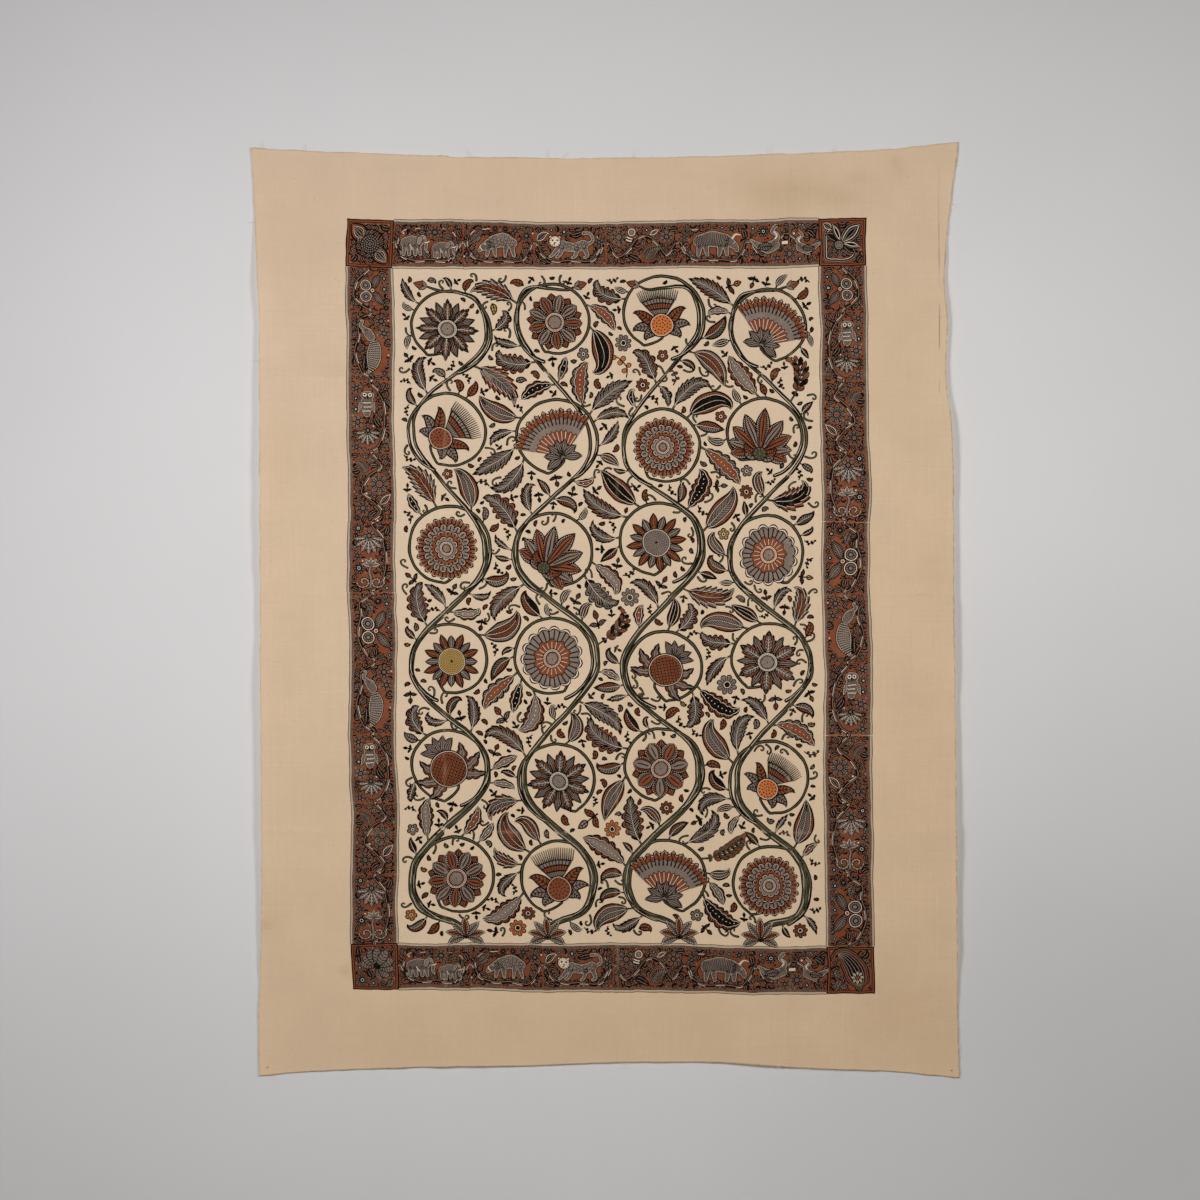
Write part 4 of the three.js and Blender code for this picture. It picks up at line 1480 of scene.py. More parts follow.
def flowering(radius, petals=8):
    """A border flower as a block's subject."""
    def draw(pen):
        block_flower(pen, radius, 0, petals)
        return [(0, 0, radius)]
    return draw


def fanned(radius):
    return lambda pen: palmette(pen, radius)


def looped(pen):
    """A pale-rimmed round over two short pale bars."""
    pen.rounds(0, (DARK, 8.4), (PALE, 6.9), (DARK, 5.4), (GREY, 4.2))
    for k in (0, 1):
        y = -11.0 - 4.6 * k
        pen.line(DARK, [(-6, y), (0, y - 0.8), (6, y)], 4.6, 0, blunt=True)
        pen.line(PALE, [(-5, y), (0, y - 0.8), (5, y)], 2.2, 1, blunt=True)
    return [(0, 0, 8.6), (-3, -13, 6), (3, -13, 6)]


def oblong(pen):
    """A small pale oblong patch with a dark edge."""
    pen.line(DARK, [(-6.5, 0), (6.5, 0)], 7.6, 0)
    pen.line(PALE, [(-5.3, 0), (5.3, 0)], 5.2, 1)
    return [(-4, 0, 4.5), (4, 0, 4.5)]


def paisley(pen):
    """A curled drop with a beaded rim and a sprig inside."""
    blade = Blade(44, 27, bend=0.5, curl=1.7, fullest=0.36)
    at = pen.at(0, -20)
    blade.coats(at, 0, (DARK, 0), (GREY, 1.4), (DARK, 2.6), (RUST, 1.2, 0.8), (DARK, 0.6, 0.62))
    blade.veins(at, GREY, 5, 10, 0.1, 0.5, 1.3, 1.0)
    blade.rib(at, GREY, 6, 1.3)
    return [(0, -8, 13), (1, 2, 12), (6, 12, 8), (11, 18, 5)]


def make_blocks():
    """The blocks of the top and bottom bands, those of the side bands, and the short one."""
    flat = (ALONG_TOP / 2, BAND_HALF)
    tall = (BAND_HALF, ALONG_SIDE / 2)
    low = [(-61, 4), (-56, 2), (-46, -17), (-26, -27), (4, -26), (34, -28), (48, -16), (56, 2), (61, 4)]
    high = [(-46, -17), (-53, 4), (-42, 23), (-14, 27)]
    high_right = [(34, -28), (49, -6), (44, 17), (24, 26)]
    wave = [(-61, 4), (-55, 1), (-40, -20), (-20, -7), (0, 15), (22, 7), (40, -18), (56, 1), (61, 4)]
    climb = [(0, -61), (0, -56), (-14, -46), (-26, -14), (-20, 18), (-20, 42), (-1, 55), (0, 61)]
    climb_right = [(0, -61), (1, -56), (15, -46), (26, -10), (20, 30), (1, 54), (0, 61)]
    spiral = [(0, -61), (2, -56), (15, -44), (4, -26), (-17, -8), (-6, 18), (16, 36), (3, 54), (0, 61)]
    short = [(0, -39), (-2, -34), (-24, -16), (-22, 12), (-2, 34), (0, 39)]
    # Each subject: what draws it, x, y, and where they aren't 0, 1 and no, its turn, size and flip.
    along = [
        ([low, high, high_right], (elephant, -27, 1, 0, 1.1), (elephant, 24, -7, 0, 0.88),
         (flowering(11), 12, 20)),
        ([low, high], (boar, 4, 1, 0, 1.1, True), (flowering(10), 47, 16)),
        ([low, high_right], (cat, 0, -2, 0, 1.14, True), (flowering(8, 6), 49, 6)),
        ([wave], (flowering(14), -38, 14), (looped, -16, 22, 0.3, 0.95), (paisley, 12, -12, 0.4, 0.86),
         (flowering(11, 7), 42, 14)),
        ([low, high], (buffalo, 0, 2, 0, 1.14), (flowering(8, 6), -49, 14)),
        ([wave], (swan, -28, 3, 0, 1.2), (oblong, 2, 2), (flowering(12), 10, -17),
         (swan, 38, -2, 0, 0.98, True)),
    ]
    side = [
        ([climb], (peacock, -4, 2, 0, 1.05), (flowering(11), 18, 42)),
        ([climb_right], (owl, -6, 22, 0, 0.95), (fanned(22), -4, -30)),
        ([spiral], (flowering(17), 12, 6), (paisley, -14, 36, -0.3, 0.7, True), (flowering(12), -16, -36)),
        ([climb_right], (fanned(26), -4, 26), (coil, -2, -28, 0, 0.82)),
        ([climb], (butterfly_flower, 4, -4, 0, 0.98), (flowering(8), 10, 46)),
    ]
    return (
        [block(flat, 1 + k, vines, subjects) for k, (vines, *subjects) in enumerate(along)],
        [block(tall, 11 + k, vines, subjects) for k, (vines, *subjects) in enumerate(side)],
        block((BAND_HALF, SHORT_BLOCK / 2), 16, [short], [(butterfly_flower, 4, 0, 0, 0.8)]),
    )


def edge_lines(pen, half):
    """The fine lines along both edges of a band piece: a dark line, bare cloth and a ticked grey line."""
    at = np.linspace(-half, half, max(4, int(half / 3)))
    for side in (-1, 1):
        for offset, width, dye, up in (
            (40.6, 1.0, DARK, 1),
            (38.9, 0.55, GREY, 1),
            (35.3, 3.4, GREY, 1),
            (37.1, 0.5, DARK, 2),
        ):
            pen.line(dye, np.stack([at, np.full_like(at, side * offset)], 1), width, up)
        ticks = np.arange(-half + 0.9, half, 2.1)
        foot, tip = np.full_like(ticks, side * 33.6), np.full_like(ticks, side * 36.4)
        pen.spikes(DARK, np.stack([ticks, foot], 1), np.stack([ticks + 0.4, tip], 1), 0.9, 0.9, 3)


def band_ground(pen, half):
    """The rust ground of one band piece."""
    columns = 2 + int(2 * half // FILM_CELL)
    x = np.linspace(-half, half, columns)
    edge = np.full_like(x, BAND_HALF + 0.1)
    pen.ladder(RUST, np.stack([x, -edge], 1), np.stack([x, edge], 1), 0)


CORNER_HALF = CORNER_SIDE / 2


def corner_square(pen, seed, subject):
    """A corner block: frame lines, rust ground, a design, and leaves in the room that is left."""
    inner = CORNER_HALF - 5.6
    x = np.linspace(-1, 1, 12)
    squares = ((DARK, CORNER_HALF), (RUST, CORNER_HALF - 2.0), (DARK, inner + 1.2), (RUST, inner))
    for up, (dye, reach) in enumerate(squares):
        pen.ladder(dye, np.stack([x * reach, x * 0 - reach], 1), np.stack([x * reach, x * 0 + reach], 1), up)
    pots = {}
    rng = np.random.default_rng(BORDER_SEED + seed)
    at = Pen(pots)
    ground = Ground(inner - 0.3, inner - 0.3, BLOCK_CELL)
    ground.add(subject(at.at(up=4)))
    fill_block(at, ground, rng, flowers=False)
    pen.at(up=4).stamp(pots)


def heart_leaf(pen, length):
    """A pointed heart in a heavy outline, with a rust gap and a smaller pale-rimmed heart inside."""
    outer = Blade(length, length * 0.9, fullest=0.36)
    outer.coats(pen, 0, (DARK, 0), (RUST, 3.4))
    inner = Blade(length * 0.74, length * 0.56, fullest=0.38)
    within = pen.at(0, length * 0.09)
    inner.coats(within, 2, (DARK, 0), (PALE, 1.1), (DARK, 1.9))
    inner.strakes(within, GREY, 5, (-0.45, 0.0, 0.45), 1.7, 0.1, 0.9)
    return patches(pen, outer)


def corner_rosette(pen):
    """A dark beaded round between two heart leaves, with curled leaves in the other corners."""
    pen.disc(DARK, scalloped(16.4, 14, 0.1), 4)
    for k, count in enumerate((4, 10, 16, 21)):
        pen.dots(GREY, ring_spots(2.1 + 3.7 * k, count, 0.3 * k), 1.3, 5, 6)
    marks = [(0.0, 0.0, 17.0)]
    for turn in (-math.pi / 4, 3 * math.pi / 4):
        marks += heart_leaf(pen.at(13.5 * math.sin(turn), 13.5 * math.cos(turn), turn), 33)
    for turn in (math.pi / 4, -3 * math.pi / 4):
        bow = np.linspace(turn - 1.05, turn + 1.05, 16)
        pen.line(DARK, 23.5 * np.stack([np.sin(bow), np.cos(bow)], 1), 2.6, 0)
        for k in range(-4, 5):
            around = turn + k * 0.25
            x, y = 23.5 * math.sin(around), 23.5 * math.cos(around)
            side = 1 if k > 0 else -1
            way = around + side * (0.5 if k % 2 else 2.2)
            blade = Blade(14.5 - 0.8 * abs(k), 8.4, bend=1.0 * side, curl=1.1 * side)
            (leaf_grey if k % 3 == 1 else leaf_dark)(pen.at(x, y, way, up=1 + k % 2), blade)
            marks.append((x + 5 * math.sin(way), y + 5 * math.cos(way), 4.6))
    return marks


def nested_petal(pen, length, width, bend, rims, up):
    """One petal inside another, each with its own rim dye."""
    for k, rim in enumerate(rims):
        blade = Blade(length * (1 - 0.12 * k), width * (1 - 0.3 * k), bend=bend, fullest=0.55)
        inside = pen.at(0, length * 0.05 * k)
        blade.coats(inside, up + 3 * k, (DARK, 0), (rim, 1.7), (DARK, 2.9))
    return patches(pen, Blade(length, width, bend=bend, fullest=0.55))


def corner_lotus(pen):
    """Nested petals that sweep to one corner, over a stem that runs round the other sides."""
    knots = [(-17, 25), (-27, 17), (-30, 4), (-30, -14), (-29, -26)]
    stem = curve(knots + [(-20, -30), (0, -30), (15, -27), (24, -17)], 54)
    across = sideways(headings(stem))
    pen.line(DARK, stem, 6.6, 0, blunt=True)
    pen.line(GREY, stem + across * 1.7, 1.5, 1)
    pen.line(PALE, stem - across * 1.8, 0.9, 1)
    marks = [(x, y, 3.6) for x, y in stem]
    leaves = ((-1.75, 20, 0.3), (-2.3, 22, -0.3), (3.05, 22, 0.3), (2.5, 20, 0.2), (2.05, 27, -0.3))
    for k, (turn, length, bend) in enumerate(leaves):
        blade = Blade(length, 10.5, bend=bend, fullest=0.55)
        at = pen.at(-3, -2, turn, up=1 + k % 2)
        leaf_grey(at, blade)
        marks += patches(at, blade)
    for k, (turn, length, width, bend, *rims) in enumerate((
        (-0.75, 33, 13, -0.5, GREY),
        (1.95, 33, 13, 0.5, GREY),
        (-0.2, 37, 15, -0.45, GREY, PALE),
        (1.55, 38, 15, 0.45, GREY, PALE),
        (0.8, 47, 27, 0.0, GREY, PALE, GREY),
    )):
        marks += nested_petal(pen.at(-3, -2, turn), length, width, bend, rims, 5 + k * 3)
    pen.circle(DARK, 9.6, 30, -6, -5)
    for k, count in enumerate((1, 6, 12)):
        pen.dots(GREY, ring_spots(3.1 * k + 0.01, count, 0.4 * k) + (-6, -5), 1.5, 31, 7)
    pen.rounds(3, (DARK, 6.0), (PALE, 4.4), (DARK, 3.2), x=-14, y=25)
    leaf_pale_rimmed(pen.at(-32, 32, 2.1, up=3), Blade(20, 13, bend=0.3, fullest=0.4))
    return marks + [(-6, -5, 10), (-14, 25, 6.0), (-25, 28, 7)]


def corner_rays(pen):
    """Broad veined petals that fan from the middle to three sides, with round leaves behind."""
    marks = []
    for k, turn in enumerate((2.75, -1.3, 2.2, -0.85, 1.65, -0.4, 1.15, 0.05, 0.6)):
        blade = Blade(30 + 5 * math.cos(turn - 0.5), 16.5, bend=0.14 * turn, fullest=0.6)
        at = pen.at(3, 1, turn, up=3 * k)
        blade.coats(at, 1, (DARK, 0), (GREY, 1.5))
        blade.veins(at, DARK, 3, 6, 0.0, 0.85, 1.6, 1.1)
        blade.rib(at, DARK, 3, 3.0)
        blade.strakes(at, GREY, 4, (0.0,), 1.6, 0.0, 0.9)
        marks += patches(at, blade)
    for x, y, radius in ((-23, -23, 11.0), (-26, -1, 7.5), (-3, -28, 7.0)):
        block_flower(pen.at(x, y), radius, 1, 7, dark=True)
        marks.append((x, y, radius))
    pen.circle(DARK, 4.0, 32, 3, 1)
    return marks


def corner_paisley(pen):
    """A large curled drop in bands of dark, grey and rust, with a round flower in its belly."""
    spine = curve([(13, -29), (12, -15), (6, 3), (-4, 18), (-16, 25), (-27, 20), (-27, 11)], 44)
    at = np.linspace(0, 1, len(spine))
    full = np.interp(at, [0, 0.1, 0.28, 0.5, 0.7, 0.86, 1.0], [14, 35, 45, 38, 24, 14, 8])
    bands = ((DARK, 0.0), (GREY, 4.6), (DARK, 6.4), (RUST, 9.6), (DARK, 15.4))
    for up, (dye, less) in enumerate(bands):
        pen.line(dye, spine, np.maximum(full - less, 0.0), up, blunt=True)
    across = sideways(headings(spine))
    inner = np.maximum(full - 17.5, 0.0) / 2
    for share in (-0.85, -0.45, 0.0, 0.45, 0.85):
        pen.line(GREY, spine + across * (inner * share)[:, None], np.where(inner > 2.0, 1.2, 0.0), 5)
    flower = pen.at(10.5, -12, up=6)
    for _, at in flower.around(8, 3):
        Blade(8.0, 6.4, fullest=0.6).coats(at, 0, (DARK, 0), (PALE, 1.3), (GREY, 2.2))
    flower.rounds(3, (DARK, 4.2), (RUST, 2.9))
    return [(x, y, wide / 2 + 0.5) for (x, y), wide in zip(spine, full)]


def draw_border(pots):
    """Corner squares and blocks, each set down a little out of true."""
    rng = np.random.default_rng(BORDER_SEED)
    pen = Pen(pots)
    along, side, short = make_blocks()
    middle_x = PRINT_HALF_WIDTH - CORNER_HALF
    middle_y = PRINT_HALF_HEIGHT - CORNER_HALF

    def set_down(x, y, turn, half, pots_of_block, flip=False):
        x, y, slant = x + rng.uniform(-0.5, 0.5), y + rng.uniform(-0.5, 0.5), rng.uniform(-0.004, 0.004)
        at = pen.at(x, y, turn + slant)
        band_ground(at, half + 0.3)
        edge_lines(at, half)
        at.at(turn=-turn, flip=flip, up=4).stamp(pots_of_block)

    for row in (1, -1):
        for k, pots_of_block in enumerate(along):
            turn = 0 if row > 0 else math.pi
            set_down((k - 2.5) * ALONG_TOP, row * middle_y, turn, ALONG_TOP / 2, pots_of_block)
    top = PRINT_HALF_HEIGHT - CORNER_SIDE
    for column in (-1, 1):
        x, turn, flip = column * middle_x, column * math.pi / 2, column > 0
        set_down(x, top - SHORT_BLOCK / 2, turn, SHORT_BLOCK / 2, short, flip)
        for k in range(SIDE_BLOCKS):
            y = top - SHORT_BLOCK - (k + 0.5) * ALONG_SIDE
            set_down(x, y, turn, ALONG_SIDE / 2, side[(k + flip) % len(side)], flip)
    corners = [(-1, 1, corner_rosette), (1, 1, corner_lotus), (-1, -1, corner_rays), (1, -1, corner_paisley)]
    for number, (column, row, subject) in enumerate(corners):
        at = pen.at(column * middle_x, row * middle_y, rng.uniform(-0.006, 0.006), up=4)
        corner_square(at, 31 + number, subject)


field_pots, border_pots = {}, {}
draw_field(field_pots)
draw_border(border_pots)


# Materials. All read Object coordinates, which are metres in the cloth's own frame.

WEAVE_DEPTH = 0.0006
THREADS_EACH_METRE = 1850
CREASE_WIDTH = 2.6
# The drawn thread: x, and the lowest and highest z. Each pinhole: x, z, radius.
DRAWN_THREAD = (568.0, -380.0, -105.0)
PINHOLES = [(-573.0, -1546.0, 1.3), (590.0, -1551.0, 1.4)]
# The print is darker towards the foot: from z, to z, and how dark it is at each.
PRINT_DARKER_LOW = (-1.40, -0.80, 0.84, 1.0)


class Nodes:
    """Short calls that add shader nodes and link them."""

    def __init__(self, name):
        self.material = bpy.data.materials.new(name)
        self.material.use_nodes = True
        self.tree = self.material.node_tree
        self.tree.nodes.clear()
        self.out = self.add("ShaderNodeOutputMaterial")
        self.place = self.add("ShaderNodeTexCoord").outputs["Object"]

    def add(self, kind, **settings):
        node = self.tree.nodes.new(kind)
        for key, value in settings.items():
            setattr(node, key, value)
        return node

    def feed(self, socket, value):
        if hasattr(value, "links"):
            self.tree.links.new(value, socket)
        else:
            socket.default_value = value

    def fed(self, kind, *values, **settings):
        """A new node with values in its first sockets. Returns its first output."""
        node = self.add(kind, **settings)
        for socket, value in zip(node.inputs, values):
            self.feed(socket, value)
        return node.outputs[0]

    def math(self, operation, *values):
        return self.fed("ShaderNodeMath", *values, operation=operation)

    def plus(self, first, second):
        return self.math("ADD", first, second)

    def times(self, first, second):
        return self.math("MULTIPLY", first, second)

    def axes(self):
        """The three Object coordinates, by name."""
        node = self.add("ShaderNodeSeparateXYZ")
        self.feed(node.inputs[0], self.place)
        return node.outputs

    def stretched(self, x, y, z):
        """Object coordinates scaled on each axis."""
        node = self.add("ShaderNodeMapping")
        self.feed(node.inputs["Vector"], self.place)
        node.inputs["Scale"].default_value = (x, y, z)
        return node.outputs["Vector"]

    def noise(self, scale, detail=2.0, vector=None, rough=0.5):
        node = self.add("ShaderNodeTexNoise")
        self.feed(node.inputs["Vector"], self.place if vector is None else vector)
        node.inputs["Scale"].default_value = scale
        node.inputs["Detail"].default_value = detail
        node.inputs["Roughness"].default_value = rough
        return node.outputs["Fac"]

    def band(self, value, low, high, bottom=0.0, top=1.0):
        """Maps low..high to bottom..top, held at both ends."""
        return self.fed("ShaderNodeMapRange", value, low, high, bottom, top)

    def near(self, value, place, half_width):
        """1 where value is at place, falling to 0 within about half_width."""
        away = self.math("SUBTRACT", value, place)
        return self.math("EXPONENT", self.times(self.times(away, away), -1 / half_width**2))

    def far_from(self, place):
        """The distance to a place in the cloth's frame."""
        node = self.add("ShaderNodeVectorMath", operation="DISTANCE")
        self.feed(node.inputs[0], self.place)
        node.inputs[1].default_value = place
        return node.outputs["Value"]

    def mix(self, share, first, second, blend="MIX"):
        node = self.add("ShaderNodeMix", data_type="RGBA", blend_type=blend)
        self.feed(node.inputs["Factor"], share)
        for socket, value in zip((node.inputs[6], node.inputs[7]), (first, second)):
            self.feed(socket, value)
        return node.outputs[2]

    def shaded(self, colour, shade):
        """A colour times one number."""
        return self.mix(1.0, colour, self.fed("ShaderNodeCombineColor", shade, shade, shade), "MULTIPLY")

    def paint(self, colour, rough, shine=0.5):
        shader = self.add("ShaderNodeBsdfPrincipled")
        self.feed(shader.inputs["Base Color"], colour)
        shader.inputs["Roughness"].default_value = rough
        shader.inputs["Specular IOR Level"].default_value = shine
        return shader

    def cloth_shader(self, colour, rough, height, strength, shine=0.18):
        shader = self.paint(colour, rough, shine)
        bump = self.add("ShaderNodeBump")
        bump.inputs["Strength"].default_value = strength
        bump.inputs["Distance"].default_value = WEAVE_DEPTH
        self.feed(bump.inputs["Height"], height)
        self.feed(shader.inputs["Normal"], bump.outputs["Normal"])
        self.feed(self.out.inputs["Surface"], shader.outputs["BSDF"])
        return self.material


def rgb(*colour):
    """A colour as seen on a screen, 0 to 255, in linear light."""
    shares = [value / 255 for value in colour]
    return (*(s / 12.92 if s < 0.0404 else ((s + 0.055) / 1.055) ** 2.4 for s in shares), 1.0)


COTTON = rgb(227, 202, 173)
LOOSE_THREAD = rgb(234, 212, 184)
SPECK = rgb(120, 92, 62)
# Painted shade in the pinholes and the drawn thread's gap, which aren't cut through.
OPENING_SHADE = rgb(70, 52, 38)
# Painted shade along the packing folds of the bare cotton.
CREASE_SHADE_ON_COTTON = rgb(150, 120, 92)
CREASED_PRINT = rgb(190, 160, 130)
BARE_COTTON = rgb(196, 170, 140)
# Each dye: its colour, the colour where it is thin, and how thin it runs.
DYES = {
    DARK: (rgb(13, 9, 6), rgb(36, 27, 20), 0.4),
    GREY: (rgb(127, 111, 100), rgb(164, 146, 131), 0.6),
    RUST: (rgb(128, 68, 43), rgb(158, 100, 68), 0.5),
    "olive": (rgb(84, 82, 60), rgb(118, 108, 82), 0.6),
    "orange": (rgb(196, 106, 50), rgb(206, 142, 92), 0.6),
    "mustard": (rgb(176, 140, 74), rgb(196, 166, 116), 0.6),
    PALE: (rgb(236, 218, 194), rgb(208, 182, 154), 0.5),
}


def weave(nodes):
    """Heights of the plain weave: warp and weft streaks that swell and thin, and their slubs."""
    warp = nodes.noise(1.0, 1.0, nodes.stretched(THREADS_EACH_METRE, 40, 55), 0.6)
    weft = nodes.noise(1.0, 1.0, nodes.stretched(60, 40, THREADS_EACH_METRE), 0.6)
    slub_warp = nodes.noise(1.0, 0.0, nodes.stretched(420, 30, 7))
    slub_weft = nodes.noise(1.0, 0.0, nodes.stretched(8, 30, 420))
    return nodes.plus(warp, weft), nodes.plus(slub_warp, slub_weft)


def crease_lines(nodes):
    """How much a place lies on an old packing fold."""
    axes = nodes.axes()
    waver = nodes.times(nodes.math("SUBTRACT", nodes.noise(7.0, 2.0), 0.5), 0.012)
    total = 0.0
    for runs, place, _, _ in PACKING_FOLDS:
        along = nodes.plus(axes["X" if runs == "down" else "Z"], waver)
        total = nodes.plus(total, nodes.near(along, place * MM, CREASE_WIDTH * MM))
    return nodes.times(total, nodes.band(nodes.noise(16.0, 2.0), 0.38, 0.62))


def small_marks(nodes):
    """Where shade is painted into the openings: pinholes, and the broken line of one drawn thread near the
    right edge.
    """
    axes = nodes.axes()
    x, low, high = DRAWN_THREAD
    line = nodes.near(axes["X"], x * MM, 0.9 * MM)
    line = nodes.times(line, nodes.near(axes["Z"], (low + high) / 2 * MM, (high - low) * 0.6 * MM))
    total = nodes.times(line, nodes.band(nodes.noise(19.0, 1.0), 0.44, 0.54, 0.0, 0.8))
    for x, z, radius in PINHOLES:
        across = nodes.near(axes["X"], x * MM, radius * MM)
        total = nodes.plus(total, nodes.times(across, nodes.near(axes["Z"], z * MM, radius * MM)))
    return total


def cotton_material():
    nodes = Nodes("cotton")
    tone = nodes.add("ShaderNodeVertexColor", layer_name="tone").outputs["Color"]
    fine, slubs = weave(nodes)
    colour = nodes.mix(1.0, COTTON, tone, "MULTIPLY")
    colour = nodes.shaded(colour, nodes.band(nodes.noise(9.0, 4.0, rough=0.6), 0.3, 0.7, 0.965, 1.03))
    threads = nodes.plus(fine, nodes.times(slubs, 0.6))
    colour = nodes.shaded(colour, nodes.band(threads, 1.1, 2.1, 0.955, 1.035))
    colour = nodes.mix(nodes.band(nodes.noise(330.0, 1.0), 0.74, 0.8, 0.0, 0.35), colour, SPECK)
    # Painted shade along the old packing folds.
    colour = nodes.mix(nodes.times(crease_lines(nodes), 0.05), colour, CREASE_SHADE_ON_COTTON)
    # Painted shade in the pinholes and along the drawn thread.
    colour = nodes.mix(nodes.times(small_marks(nodes), 0.8), colour, OPENING_SHADE)
    height = nodes.plus(fine, nodes.times(slubs, 0.8))
    height = nodes.plus(height, nodes.times(nodes.noise(38.0, 3.0), 2.2))
    return nodes.cloth_shader(colour, 0.92, height, 0.35)


def thread_material():
    nodes = Nodes("cotton_thread")
    colour = nodes.shaded(LOOSE_THREAD, nodes.band(nodes.noise(220.0, 1.0), 0.3, 0.7, 0.85, 1.06))
    return nodes.cloth_shader(colour, 0.9, nodes.noise(2500.0, 1.0), 0.3)


def dye_material(part, dye):
    """One dye of the field or the border, thin in places, with bare threads and pale creases."""
    full, thin, run = DYES[dye]
    nodes = Nodes(f"{part}_{dye}")
    fine, slubs = weave(nodes)
    uneven = nodes.times(nodes.noise(34.0, 4.0, rough=0.65), 0.55)
    amount = nodes.plus(uneven, nodes.times(nodes.noise(620.0, 2.0), 0.45))
    amount = nodes.plus(amount, nodes.times(nodes.math("SUBTRACT", fine, 1.0), 0.25))
    colour = nodes.mix(nodes.band(amount, 0.42, 0.66, 0.0, run), full, thin)
    colour = nodes.mix(nodes.band(nodes.noise(900.0, 1.0), 0.67, 0.74, 0.0, 0.3), colour, BARE_COTTON)
    colour = nodes.shaded(colour, nodes.band(nodes.axes()["Z"], *PRINT_DARKER_LOW))
    colour = nodes.mix(nodes.times(crease_lines(nodes), 0.2), colour, CREASED_PRINT)
    height = nodes.plus(fine, nodes.times(slubs, 0.8))
    return nodes.cloth_shader(colour, 0.88, height, 0.35, shine=0.05)


# The print as thin films on the face of the cloth.

LEAST_AREA = 0.004
# A corner pair of the print's texture map, and of the sheet's: x and z in metres.
PRINT_MAP = ((-0.46, -1.44), (0.48, -0.09))
SHEET_MAP = ((-0.62, -1.58), (0.62, 0.04))
# The sheet's face takes this share of the map's width, and its back starts at the other.
FACE_SHARE, BACK_START = 0.49, 0.51


def planar_map(made, corners, backs=0):
    """A straight-on texture map for baking. The last points, the backs, lie beside the rest."""
    mesh = made.data
    layer = mesh.uv_layers.new(name="OFBake")
    order = np.zeros(len(mesh.loops), np.int32)
    mesh.loops.foreach_get("vertex_index", order)
    points = np.zeros(len(mesh.vertices) * 3, np.float32)
    mesh.vertices.foreach_get("co", points)
    low, high = np.array(corners)
    flat = (points.reshape(-1, 3)[:, [0, 2]] - low) / (high - low)
    if backs:
        flat[:, 0] *= FACE_SHARE
        flat[-backs:, 0] += BACK_START
    layer.data.foreach_set("uv", flat[order].astype(np.float32).ravel())


def film(name, pot, material):
    """One dye's shapes as a film that follows the cloth."""
    points, levels = np.concatenate(pot.points), np.concatenate(pot.levels)
    faces = np.concatenate(pot.faces)
    area = face_areas(points[faces])
    faces[area < 0] = faces[area < 0][:, ::-1]
    faces = faces[np.abs(area) > LEAST_AREA]
    used, faces = np.unique(faces, return_inverse=True)
    faces = faces.reshape(-1, 3)
    laid = print_to_cloth(points[used])
    out = lift_at(laid[:, 0], laid[:, 1]) + FACE_STANDS_OFF + FIRST_FILM + levels[used] * FILM_STEP
    made = mesh_object(name, np.column_stack([laid[:, 0], -out, laid[:, 1]]) * MM, faces, material)
    planar_map(made, PRINT_MAP)
    print(f"{name}: {len(faces)} triangles")
    return made


def face_areas(corners):
    """Areas of flat triangles, below 0 where the corners run clockwise."""
    b, c = corners[:, 1] - corners[:, 0], corners[:, 2] - corners[:, 0]
    return (b[:, 0] * c[:, 1] - b[:, 1] * c[:, 0]) / 2


# The cloth itself: a thin closed sheet with raw edges that waver.

SHEET_CELL = 7.0
SHEET_FOLD_CELL = 3.4
SHEET_FOLD_REACH = 13.0
SHEET_HALF_WIDTH = 597.0
SHEET_TOP, SHEET_BOTTOM = 5.0, -1545.0
RAW_EDGE_WAVER = 0.8
MOST_WAVER = 1.4
# The raw edge is darkened with painted shade, standing in for the edge's shadow on the wall and darkest
# along the bottom, with some soiling: how wide the grid's outermost strip is, and the range of its shades at
# each edge.
RIM_WIDTH = 2.4
RIM_SHADE_AND_SOIL = dict(left=(0.66, 0.9), right=(0.40, 0.94), top=(0.66, 0.88), bottom=(0.2, 0.42))


def sheet_lines(low, high, folds):
    """Grid places from low to high, closer together where a fold runs."""
    places = [low, low + RIM_WIDTH]
    while places[-1] < high - RIM_WIDTH:
        near = any(abs(places[-1] - f) < SHEET_FOLD_REACH for f in folds)
        places.append(places[-1] + (SHEET_FOLD_CELL if near else SHEET_CELL))
    places[-1] = high - RIM_WIDTH
    if places[-1] - places[-2] < SHEET_FOLD_CELL:
        del places[-2]
    return np.array(places + [high])


def sheet_grid():
    """Places of the sheet's grid on the wall plane, as rows and columns of x and z."""
    folds_down, folds_across = (
        [place for runs, place, _, _ in PACKING_FOLDS if runs == way] for way in ("down", "across")
    )
    columns = sheet_lines(-SHEET_HALF_WIDTH, SHEET_HALF_WIDTH, folds_down)
    rows = sheet_lines(SHEET_BOTTOM, SHEET_TOP, folds_across)[::-1]
    across = (columns + SHEET_HALF_WIDTH) / (2 * SHEET_HALF_WIDTH)
    down = (SHEET_TOP - rows) / (SHEET_TOP - SHEET_BOTTOM)
    z = np.broadcast_to(rows[:, None], (len(rows), len(columns)))
    for _ in range(4):
        drop = TOP_CORNERS_ABOVE_ORIGIN - z
        left = read_table(SIDE_EDGES, "drop", "left", drop)
        right = read_table(SIDE_EDGES, "drop", "right", drop)
        x = left + (right - left) * across[None]
        top = read_table(LEVEL_EDGES, "across", "top", x)
        bottom = read_table(LEVEL_EDGES, "across", "bottom", x)
        z = top + (bottom - top) * down[:, None]
    return x, z


